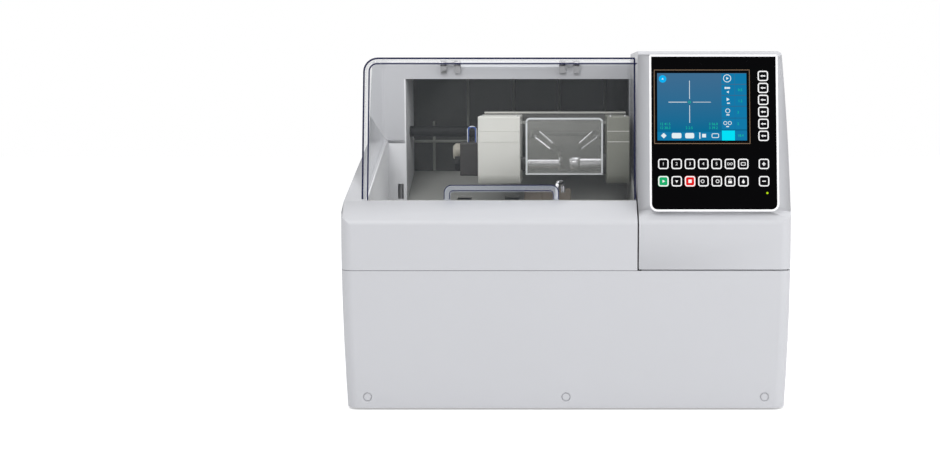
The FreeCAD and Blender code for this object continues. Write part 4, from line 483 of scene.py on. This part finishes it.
def flat_form(shape, left, low, right, high, corners=(0, 0, 0, 0)):
    """A flat rectangle whose corners are rounded, from the lower left one round; returns its faces."""
    known = set(shape.faces)
    bmesh.ops.create_grid(shape, x_segments=1, y_segments=1, size=0.5,
                          matrix=Matrix.Translation(((left + right) / 2, (low + high) / 2, 0))
                          @ Matrix.Diagonal((right - left, high - low, 1, 1)))
    face = next(face for face in shape.faces if face not in known)
    places = ((left, low), (right, low), (right, high), (left, high))
    tips = [min(face.verts, key=lambda vert: (vert.co.xy - Vector(place)).length) for place in places]
    for tip, radius in zip(tips, corners):
        if radius:
            bmesh.ops.bevel(shape, geom=[tip], offset=radius, offset_type="OFFSET", segments=8, profile=0.5,
                            affect="VERTICES", material=-1)
    return [face for face in shape.faces if face not in known]


def rim(shape, left, low, right, high, corners, width, open_foot=False):
    """The rim of such a rectangle, without its lower side where its foot is open."""
    faces = flat_form(shape, left, low, right, high, corners)
    bmesh.ops.inset_region(shape, faces=faces, thickness=width, use_even_offset=True, use_boundary=True)
    if open_foot:
        faces += [face for face in shape.faces if face.calc_center_median().y < low + width * 0.6]
    bmesh.ops.delete(shape, geom=list(set(faces)), context="FACES_ONLY")


def laid(shape, plane, level, thickness):
    """Give a flat form a thickness and lay it on a face at a level above it."""
    grown = bmesh.ops.extrude_face_region(shape, geom=list(shape.faces))
    tops = [item for item in grown["geom"] if isinstance(item, bmesh.types.BMVert)]
    bmesh.ops.translate(shape, verts=tops, vec=(0, 0, thickness))
    bmesh.ops.recalc_face_normals(shape, faces=shape.faces)
    bmesh.ops.transform(shape, matrix=plane @ Matrix.Translation((0, 0, level)), verts=shape.verts)
    return shape


HOOD_FACE = face_frame(APRON_BACK, HOOD_FOOT, HOOD_TILT)
# Vacuum formed acrylic: nearly nothing face on, a cool grey veil at a glance.
hood_acrylic = clear_plastic("clear_acrylic", "A3A8AE", 0.03, 0.2)

moulding = bmesh.new()
brick(moulding, (HOOD_LEFT, APRON_BACK * 1000, HOOD_FOOT * 1000), (HOOD_RIGHT, HOOD_BACK, HOOD_CREST), edge=0)
lean = [vert for vert in moulding.verts if vert.co.y < 0 and vert.co.z > HOOD_HALFWAY]
bmesh.ops.translate(moulding, verts=lean, vec=(0, HOOD_LEAN, 0))
heel = [vert for vert in moulding.verts if vert.co.y > 0 and vert.co.z < HOOD_HALFWAY]
bmesh.ops.translate(moulding, verts=heel, vec=(0, 0, HOOD_HEEL))
corner = [item for item in moulding.edges if all(vert.co.x < 0 and vert.co.z > HOOD_HALFWAY
                                                 for vert in item.verts)]
bmesh.ops.bevel(moulding, geom=corner, offset=HOOD_CORNER / 1000, offset_type="OFFSET", segments=12,
                profile=0.5, affect="EDGES", material=-1)
moulding.normal_update()
front = min(moulding.faces, key=lambda face: face.normal.y)
chain = [item for item in front.edges if min(vert.co.x for vert in item.verts) < 0
         and max(vert.co.z for vert in item.verts) > HOOD_HALFWAY]
bmesh.ops.bevel(moulding, geom=chain, offset=HOOD_ROUND / 1000, offset_type="OFFSET", segments=8, profile=0.5,
                affect="EDGES", material=-1)
notches = [(start - NOTCH_GAP, start + HINGE_WIDTH + NOTCH_GAP) for start in HINGE_STARTS]
for across in [end for notch in notches for end in notch]:
    sliced(moulding, (across / 1000, 0, 0), (1, 0, 0))
sliced(moulding, (0, NOTCH_FRONT / 1000, 0), (0, 1, 0))
moulding.normal_update()
open_faces = [face for face in moulding.faces if face.normal.y > 0.9 or face.normal.z < -0.5]
for face in moulding.faces:
    middle = face.calc_center_median() * 1000
    in_notch = any(left < middle.x < right for left, right in notches)
    if face.normal.z > 0.9 and middle.y > NOTCH_FRONT and in_notch:
        open_faces.append(face)
bmesh.ops.delete(moulding, geom=open_faces, context="FACES")
bmesh.ops.solidify(moulding, geom=list(moulding.faces), thickness=HOOD_WALL)
stand_in(finish_piece(moulding, "hood_moulding", "hood", hood_acrylic), "hood")
# Light caught inside the sheet leaves at its bends as dark blue lines; they are drawn as strips of painted
# reflection on the hood and the handle.
edge_painted_reflection = surface("dark_blue_painted_reflection", "12153F", 0.4, 0.5, 0.001, sockets={"Specular IOR Level": 0.1})
dress("hood_hinges", hood_acrylic, "hood_leaves")
dress("hood_handle", clear_plastic("clear_handle_acrylic", "D5DCEA", 0.18, 0.7), "handle_bow")
line = bmesh.new()
rim(line, HOOD_LEFT - 0.1, LINE_FOOT, HOOD_RIGHT - 0.2, HOOD_TOP_BEHIND, (0, 0, 2, HOOD_CORNER), LINE,
    open_foot=True)
finish_piece(laid(line, HOOD_FACE, -HOOD_ROUND, OUTER_DEEP), "hood_outer_line", "hood",
             edge_painted_reflection)
line = bmesh.new()
rim(line, HOOD_LEFT + HOOD_ROUND, LINE_FOOT, HOOD_RIGHT + LINE, HOOD_TOP - HOOD_ROUND + INNER_RISE,
    (0, 0, 0, HOOD_CORNER - HOOD_ROUND), LINE * SHALLOW, open_foot=True)
inner_right = [face for face in line.faces if face.calc_center_median().x > HOOD_RIGHT]
bmesh.ops.delete(line, geom=inner_right, context="FACES")
finish_piece(laid(line, HOOD_FACE, 0, FLUSH), "hood_inner_line", "hood", edge_painted_reflection)
line = bmesh.new()
rim(line, HANDLE_LEFT, HANDLE_FOOT, HANDLE_RIGHT, HANDLE_TOP, (0, 0, HANDLE_CORNER, HANDLE_CORNER),
    HANDLE_LINE * 1.1, open_foot=True)
rim(line, HANDLE_LEFT + HANDLE_BAR - HANDLE_LINE, HANDLE_FOOT, HANDLE_RIGHT - HANDLE_BAR + HANDLE_LINE,
    HANDLE_TOP - HANDLE_BAR + HANDLE_LINE, (0, 0, HANDLE_INSIDE, HANDLE_INSIDE), HANDLE_LINE, open_foot=True)
finish_piece(laid(line, HOOD_FACE, HANDLE_REACH, FLUSH), "handle_lines", "hood", edge_painted_reflection)
strip = bmesh.new()
brick(strip, *HINGE_STRIP)
finish_piece(strip, "hinge_strip", "hood",
             clear_plastic("frosted_strip_acrylic", "EEF0F4", 0.7, 0.9))


# Shield: a cast plate of smoky clear plastic that hangs on two pins between the arms and keeps the spray
# off the hood. A pale band round its edge is a painted highlight for the light its edges catch.

SHIELD_LEFT, SHIELD_RIGHT, SHIELD_BASE, SHIELD_TOP, SHIELD_FRONT = -54.6, 50, 298, 375, -0.12625
BAND_WIDTH, BAND_THICK, SHIELD_CORNER = 2.4, 0.4, 6

# Years of fine scratches make the plate milky; the pale satin band is a painted highlight along its edge.
dress("shield", clear_plastic("smoky_shield_plastic", "B4B5B0", 0.22, 0.7), "shield_plate")
band = bmesh.new()
rim(band, SHIELD_LEFT, SHIELD_BASE, SHIELD_RIGHT, SHIELD_TOP, (0, 0, SHIELD_CORNER, SHIELD_CORNER),
    BAND_WIDTH)
finish_piece(laid(band, face_frame(SHIELD_FRONT, 0, 0), 0, BAND_THICK), "shield_band", "shield",
             surface("shield_edge_painted_highlight", "D5D8DA", 0.35, 0.5, 0.003))


# Panel: a polyester film, printed black on its back and glued into the tower's tilted frame, whose raised
# rim carries a bright painted highlight in white. The control board stands behind it.

PANEL = face_frame(-0.2375, 0.2607, math.radians(11))
PANEL_LEFT, PANEL_RIGHT, PANEL_LENGTH = 109.8, 270.5, 198.5
RIM_WIDTH, RIM_LEVEL, RIM_LAYER, RIM_CORNERS = 2.5, 0.8, 0.15, (10, 10, 2, 2)

# Ink behind the film is a deep even black with next to no shine from the front.
overlay_film = surface("black_printed_film", "060607", 0.25, 0.3, 0.002, sockets={"Specular IOR Level": 0.01})
dress("overlay", overlay_film, "panel_film")
# Glass laminate under green lacquer.
dress("control_board", surface("board_laminate", "15472A", 0.5, 0.5, 0.01), "board")
trim = bmesh.new()
rim(trim, PANEL_LEFT - RIM_WIDTH, -RIM_WIDTH, PANEL_RIGHT + RIM_WIDTH, PANEL_LENGTH + RIM_WIDTH, RIM_CORNERS,
    RIM_WIDTH)
# Painted highlight: the light caught on the frame's rim, laid on in gloss white, the brightest thing on the
# front.
finish_piece(laid(trim, PANEL, RIM_LEVEL, RIM_LAYER), "panel_trim", "housing",
             surface("rim_painted_highlight", "F4F4F6", 0.35, 0.7, 0.01))


# Display: a 5.7 inch liquid crystal module clamped behind the film, in a dark moulded frame. Its picture is
# set out in plain signs and figures, and a bronze line is printed round its window.

SCREEN_LEFT, SCREEN_LOW, SCREEN_WIDTH, SCREEN_HEIGHT = 117.5, 89.2, 115.2, 87.8
SCREEN_LEVEL, PANE_LEVEL, SIGN_LEVEL, INK_HEIGHT = -0.95, -0.9, -0.89, 0.06
TILE_LEFT, TILE_SPLIT, TILE_ROWS = 82.9, 99.8, (14.2, 29.2, 44.6, 58.8, 73.2, 87.8)
TILE_SEAM, TILE_GAP, FOOT_PANE, LAST_PANE, CHOICE_HIGH = 0.4, 1.2, 11.2, 12.8, 13
BUTTON, BUTTON_RADIUS = (7.1, 80.3), 4.9
ICON_COLUMN = (TILE_LEFT + TILE_SPLIT) / 2 - 1
FIGURE_HIGH, FIGURE_PLACES = 3.3, (("12 41.5", 10, 21.4), ("12 20.3", 10, 16.4), ("2 2.5", 41, 16.4),
                                   ("3 56.0", 72, 21.4), ("3 39.2", 72, 16.4), ("0.5", 107, 65.8),
                                   ("1.2", 107, 51.4), ("3", 104, 36.6), ("2", 104, 21.6), ("18.4", 107, 6.4))
WINDOW_LINE = (123.6, 96.6, 0.4, 0.9)


def bar(shape, across, up, width, height):
    """A printed bar centred at a place on the panel."""
    bmesh.ops.create_grid(shape, x_segments=1, y_segments=1, size=0.5,
                          matrix=Matrix.Translation((across, up, 0)) @ Matrix.Diagonal((width, height, 1, 1)))


def disc(shape, across, up, radius, sides=24, turn=0.0):
    """A printed disc, or a triangle or diamond with few sides."""
    bmesh.ops.create_circle(shape, cap_ends=True, segments=sides, radius=radius,
                            matrix=Matrix.Translation((across, up, 0))
                            @ Matrix.Rotation(math.radians(turn), 4, "Z"))


def hoop(shape, across, up, radius, width):
    """A printed ring."""
    before = set(shape.faces)
    disc(shape, across, up, radius)
    faces = [face for face in shape.faces if face not in before]
    bmesh.ops.inset_region(shape, faces=faces, thickness=width, use_even_offset=True, use_boundary=True)
    bmesh.ops.delete(shape, geom=faces, context="FACES_ONLY")


def rounded(shape, across, up, width, height, corner):
    """A printed rectangle with rounded corners, centred at a place."""
    flat_form(shape, across - width / 2, up - height / 2, across + width / 2, up + height / 2, (corner,) * 4)


def outline(shape, across, up, width, height, corner, thickness):
    """The rim of such a rectangle."""
    rim(shape, across - width / 2, up - height / 2, across + width / 2, up + height / 2, (corner,) * 4,
        thickness)


def digits(shape, across, up, text, height):
    """Plain figures, set with their centre at a place."""
    font = bpy.data.curves.new("figures", "FONT")
    font.body = text
    font.size = height * 1.4
    font.align_x, font.align_y = "CENTER", "CENTER"
    font.resolution_u = 3
    figure = bpy.data.objects.new("figures", font)
    bpy.context.scene.collection.objects.link(figure)
    bpy.context.view_layer.update()
    mesh = bpy.data.meshes.new_from_object(figure)
    mesh.transform(Matrix.Translation((across, up, 0)))
    shape.from_mesh(mesh)
    bpy.data.objects.remove(figure)
    bpy.data.meshes.remove(mesh)


def printed(shape, name, body, material, level, thickness=INK_HEIGHT):
    """Print on the panel, or on a key, at a level above the film."""
    return finish_piece(laid(shape, PANEL, level, thickness), name, body, material)


def glowing(name, colour, strength=1.0, low=None, bottom=0.0, top=1.0):
    """A lit colour, which may run up the panel from a second one."""
    material, tree = empty_material(name)
    light = {"Base Color": linear("000000"), "Roughness": 0.3, "Specular IOR Level": 0.0,
             "Emission Strength": strength, "Emission Color": linear(colour)}
    if low:
        place = add_node(tree, "ShaderNodeTexCoord")
        split = add_node(tree, "ShaderNodeSeparateXYZ", {"Vector": place.outputs["Object"]})
        rise = add_node(tree, "ShaderNodeMapRange", {"Value": split.outputs["Z"], "From Min": bottom,
                                                     "From Max": top})
        blend = add_node(tree, "ShaderNodeMix", {0: rise.outputs["Result"], 6: linear(low),
                                                 7: linear(colour)}, data_type="RGBA")
        light["Emission Color"] = blend.outputs[2]
    shader = add_node(tree, "ShaderNodeBsdfPrincipled", light)
    add_node(tree, "ShaderNodeOutputMaterial", {"Surface": shader.outputs["BSDF"]})
    return material


# The display's frame is smooth dark plastic with a faint sheen.
dress("screen", surface("display_frame", "0A0A0B", 0.3, 0.5, 0.01), "display_case")


def on_screen(shape, signs):
    """Draw signs on the display, each a kind, a place from its lower left corner and sizes."""
    for sign, across, up, *sizes in signs:
        sign(shape, SCREEN_LEFT + across, SCREEN_LOW + up, *sizes)


# Lit crystal: each colour glows by itself at about the room's own level, and the ground deepens to its foot.
picture = bmesh.new()
on_screen(picture, [(bar, SCREEN_WIDTH / 2, SCREEN_HEIGHT / 2, SCREEN_WIDTH, SCREEN_HEIGHT)])
printed(picture, "display_picture", "housing",
        glowing("display_ground", "3E6C90", low="0A6A94", bottom=0.36, top=0.43), SCREEN_LEVEL, 0.05)

panes = bmesh.new()
for low, high in zip(TILE_ROWS, TILE_ROWS[1:]):
    on_screen(panes, [(bar, (left + right) / 2, (low + high) / 2, right - left, high - low - TILE_GAP)
                      for left, right in ((TILE_LEFT, TILE_SPLIT), (TILE_SPLIT + TILE_SEAM, SCREEN_WIDTH))])
on_screen(panes, [(bar, TILE_LEFT / 2 - TILE_SEAM, FOOT_PANE / 2, TILE_LEFT - 2 * TILE_SEAM, FOOT_PANE),
                  (bar, (TILE_SPLIT + SCREEN_WIDTH + TILE_SEAM) / 2, LAST_PANE / 2,
                   SCREEN_WIDTH - TILE_SPLIT - TILE_SEAM, LAST_PANE)])
printed(panes, "display_panes", "housing", glowing("display_pane", "1379A9"), PANE_LEVEL, 0.03)

bright = bmesh.new()
on_screen(bright, [(disc, *BUTTON, BUTTON_RADIUS)])
printed(bright, "display_button", "housing", glowing("display_blue", "0FB0F0"), PANE_LEVEL, 0.04)
chosen = bmesh.new()
on_screen(chosen, [(bar, (TILE_LEFT + TILE_SPLIT) / 2, CHOICE_HIGH / 2, TILE_SPLIT - TILE_LEFT, CHOICE_HIGH)])
printed(chosen, "display_choice", "housing", glowing("display_cyan", "05E0F6"), PANE_LEVEL, 0.04)

pale = bmesh.new()
on_screen(pale, (
    (bar, 26.5, 50, 24, 0.8), (bar, 57.5, 50, 23, 0.6), (bar, 41.7, 66, 0.7, 24), (bar, 41.7, 34.5, 0.7, 23),
    (disc, *BUTTON, 1.5, 3), (disc, 8.2, 6.4, 3.6, 4), (rounded, 24.7, 6.4, 12.4, 7, 2),
    (rounded, 41.5, 6.4, 11.6, 7, 2), (bar, 54.6, 6.4, 1.4, 8), (bar, 60, 6.4, 5, 4.6),
    (outline, 74.5, 6.4, 9.5, 6, 2, 0.9), (hoop, ICON_COLUMN, 81, 5.2, 0.9),
    (disc, ICON_COLUMN, 81, 2.2, 3, 30), (bar, ICON_COLUMN - 2.2, 68.5, 2.4, 2.6),
    (bar, ICON_COLUMN + 1.4, 68.5, 4.4, 2.2), (disc, ICON_COLUMN + 1, 63.2, 2.0, 3, 90),
    (disc, ICON_COLUMN + 0.4, 53.6, 2.6, 3, -90), (bar, ICON_COLUMN + 1.4, 48.6, 3.6, 1.6),
    (hoop, ICON_COLUMN + 0.4, 38.6, 3.1, 0.8), (bar, ICON_COLUMN + 0.6, 33.4, 4, 1.5),
    (hoop, ICON_COLUMN - 2.9, 22.8, 2.5, 0.7), (hoop, ICON_COLUMN + 2.9, 22.8, 2.5, 0.7),
    (bar, ICON_COLUMN, 18.2, 3.4, 1.4)))
printed(pale, "display_signs", "housing", glowing("display_white", "E4EEF2"), SIGN_LEVEL, 0.05)

green = bmesh.new()
for text, across, up in FIGURE_PLACES:
    digits(green, SCREEN_LEFT + across, SCREEN_LOW + up, text, FIGURE_HIGH)
on_screen(green, [(hoop, 41.7, 50, 1.6, 0.5)])
printed(green, "display_figures", "housing", glowing("display_green", "1CC49C"), SIGN_LEVEL, 0.05)

window_line = bmesh.new()
on_screen(window_line, [(outline, SCREEN_WIDTH / 2, SCREEN_HEIGHT / 2, *WINDOW_LINE)])
# Metallic ink that reads as a dull bronze brown.
printed(window_line, "display_border", "housing",
        surface("bronze_ink", "6B543C", 0.4, 0.3, 0.001), 0.0)


# Keys: moulded pads that press through the film, each with a white printed rim and a plain sign. Start is
# green and stop is red; the rest are black.

KEY_TOP, KEY_RIM, KEY_FIGURE = 0.5, (13.4, 13.4, 3.2, 1.5), 4.2
SIDE_KEYS, ROW_KEYS, FIGURE_KEYS = 6, 7, 5
ROW_LEFT, KEY_PITCH, ROW_HIGH, ROW_LOW = 124.8, 17.08, 58.8, 36.4
COLUMN, COLUMN_LOW, COLUMN_PITCH = 253.8, 95.1, 15.6

# Satin lacquer on rubber, kept dull so that the signs read; the ink is opaque and white.
key_black = surface("black_key_film", "08080A", 0.3, 0.3, 0.002, sockets={"Specular IOR Level": 0.02})
key_green = surface("green_key_film", "0D9C5F", 0.5, 0.3, 0.002, sockets={"Specular IOR Level": 0.1})
key_red = surface("red_key_film", "CC0808", 0.5, 0.3, 0.002, sockets={"Specular IOR Level": 0.1})
key_ink = surface("white_key_ink", "E6E6E6", 0.4, 0.3, 0.001)


def numbered(index):
    """The sign that is a key's own number."""
    return [(digits, 0, 0, str(index), KEY_FIGURE)]


WEDGE_AND_BAR = [(disc, -1.6, 0, 1.9, 3, 90), (bar, 1.4, 0, 3.6, 1.5)]
KEY_SIGNS = {
    **{f"key_upper_{index}": numbered(index) for index in range(1, FIGURE_KEYS + 1)},
    "key_upper_6": [(hoop, -1.9, 0, 1.7, 0.6), (hoop, 1.9, 0, 1.7, 0.6)],
    "key_upper_7": [(outline, 0, 0, 6, 4.4, 1, 0.8)],
    "key_lower_1": [(disc, 0, 0, 2.2, 3, -90)],
    "key_lower_2": [(disc, 0, 0, 2.2, 3, 180)],
    "key_lower_3": [(bar, 0, 0, 4.2, 4.2)],
    "key_lower_4": [(hoop, -1, 0, 2.4, 0.8)],
    "key_lower_5": [(hoop, 1, 0, 2.4, 0.8)],
    "key_lower_6": [(bar, 0, -1, 4.6, 3), (hoop, 0, 1.6, 1.7, 0.6)],
    "key_lower_7": [(disc, 0, -0.9, 1.8), (disc, 0, 1.3, 1.5, 3)],
    "key_plus": [(bar, 0, 0, 4.6, 1.3), (bar, 0, 1.55, 1.3, 1.8), (bar, 0, -1.55, 1.3, 1.8)],
    "key_minus": [(bar, 0, 0, 4.6, 1.3)],
    **{f"key_side_{index + 1}": WEDGE_AND_BAR for index in range(SIDE_KEYS)},
}
key_places = {}
for index in range(ROW_KEYS):
    key_places[f"key_upper_{index + 1}"] = (ROW_LEFT + KEY_PITCH * index, ROW_HIGH)
    key_places[f"key_lower_{index + 1}"] = (ROW_LEFT + KEY_PITCH * index, ROW_LOW)
for index in range(SIDE_KEYS):
    key_places[f"key_side_{index + 1}"] = (COLUMN, COLUMN_LOW + COLUMN_PITCH * (SIDE_KEYS - 1 - index))
key_places["key_plus"] = (COLUMN, ROW_HIGH)
key_places["key_minus"] = (COLUMN, ROW_LOW)

for key, (across, up) in key_places.items():
    dress(key, {"key_lower_1": key_green, "key_lower_3": key_red}.get(key, key_black), key + "_pad")
    marks = bmesh.new()
    outline(marks, across, up, *KEY_RIM)
    for sign, right, rise, *sizes in KEY_SIGNS[key]:
        sign(marks, across + right, up + rise, *sizes)
    printed(marks, key + "_print", key, key_ink, KEY_TOP)


# Lamp: a small moulded lens over a yellow green diode, low on the right of the film. It is pressed into a
# black socket that closes the film's hole.

LAMP_PLACE, LAMP_RADIUS, LAMP_LEVEL, LAMP_FLAT = (257.9, 21.3), 1.45, -0.2, 0.5
SOCKET_RADIUS, SOCKET_LEVEL, SOCKET_THICK = 2.48, -0.6, 0.5

socket = bmesh.new()
disc(socket, *LAMP_PLACE, SOCKET_RADIUS)
printed(socket, "lamp_socket", "housing", overlay_film, SOCKET_LEVEL, SOCKET_THICK)
lamp = bmesh.new()
bmesh.ops.create_uvsphere(lamp, u_segments=24, v_segments=12, radius=LAMP_RADIUS,
                          matrix=PANEL @ Matrix.Translation((*LAMP_PLACE, LAMP_LEVEL))
                          @ Matrix.Diagonal((1, 1, LAMP_FLAT, 1)))
# Tinted clear plastic, lit evenly from behind.
finish_piece(lamp, "panel_lamp", "housing", glowing("lamp_lens", "B9E018"))


# Rear: a steel panel with slots, an inlet, two ports, two hose tails and a rocker switch. Six screws
# hold it, and bright pins stand in the inlet and the ports.

PLATE_BACK, SCREW_COLUMNS, SCREW_ROWS = 230, (-172, 0, 172), (33, 171)
PLATE_SCREW_RADIUS, PLATE_SCREW_HEIGHT = 3.0, 1.6
INLET_PINS, INLET_FLOOR = ((104, 68), (110, 72.5), (116, 68)), 232
BLADE_HALF, BLADE_REACH, BLADE_HALF_HIGH = 1, 3, 2
PORT_MIDDLES, PORT_UP, PORT_FLOOR, PORT_PINS = (20, 56), 70, 233, 9
PIN_PITCH, PIN_ROW_HALF, PIN_RADIUS, PIN_REACH = 2.5, 1.4, 0.7, 3.0

# Satin coat on sheet steel, dull black moulded sockets, turned brass with a warm gleam.
dress("back_panel", surface("rear_panel_coat", "C2C2C4", 0.5, 0.5, 0.04), "slotted_panel")
dress("rear_connectors", surface("connector_plastic", "141415", 0.5, 0.5, 0.01), "inlet_and_ports")
dress("hose_tails", surface("turned_brass", "B8944E", 0.3, 0.4, 0.004, sockets={"Metallic": 1.0}),
      "turned_tails")
dress("power_switch", surface("switch_plastic", "101011", 0.35, 0.5, 0.005), "switch_rocker")
panel_screws = bmesh.new()
for across in SCREW_COLUMNS:
    for up in SCREW_ROWS:
        stud(panel_screws, (across, PLATE_BACK, up), PLATE_SCREW_RADIUS, PLATE_SCREW_HEIGHT, axis="Y")
finish_piece(panel_screws, "panel_screws", "housing", ground_steel)
pins = bmesh.new()
for across, up in INLET_PINS:
    brick(pins, (across - BLADE_HALF, INLET_FLOOR, up - BLADE_HALF_HIGH),
          (across + BLADE_HALF, INLET_FLOOR + BLADE_REACH, up + BLADE_HALF_HIGH))
for middle in PORT_MIDDLES:
    for index in range(PORT_PINS):
        across = middle + PIN_PITCH * (index - (PORT_PINS - 1) / 2)
        up = PORT_UP + (PIN_ROW_HALF if index % 2 == 0 else -PIN_ROW_HALF)
        stud(pins, (across, PORT_FLOOR, up), PIN_RADIUS, PIN_REACH, axis="Y", recess=False, sides=10)
finish_piece(pins, "connector_pins", "housing", ground_steel)
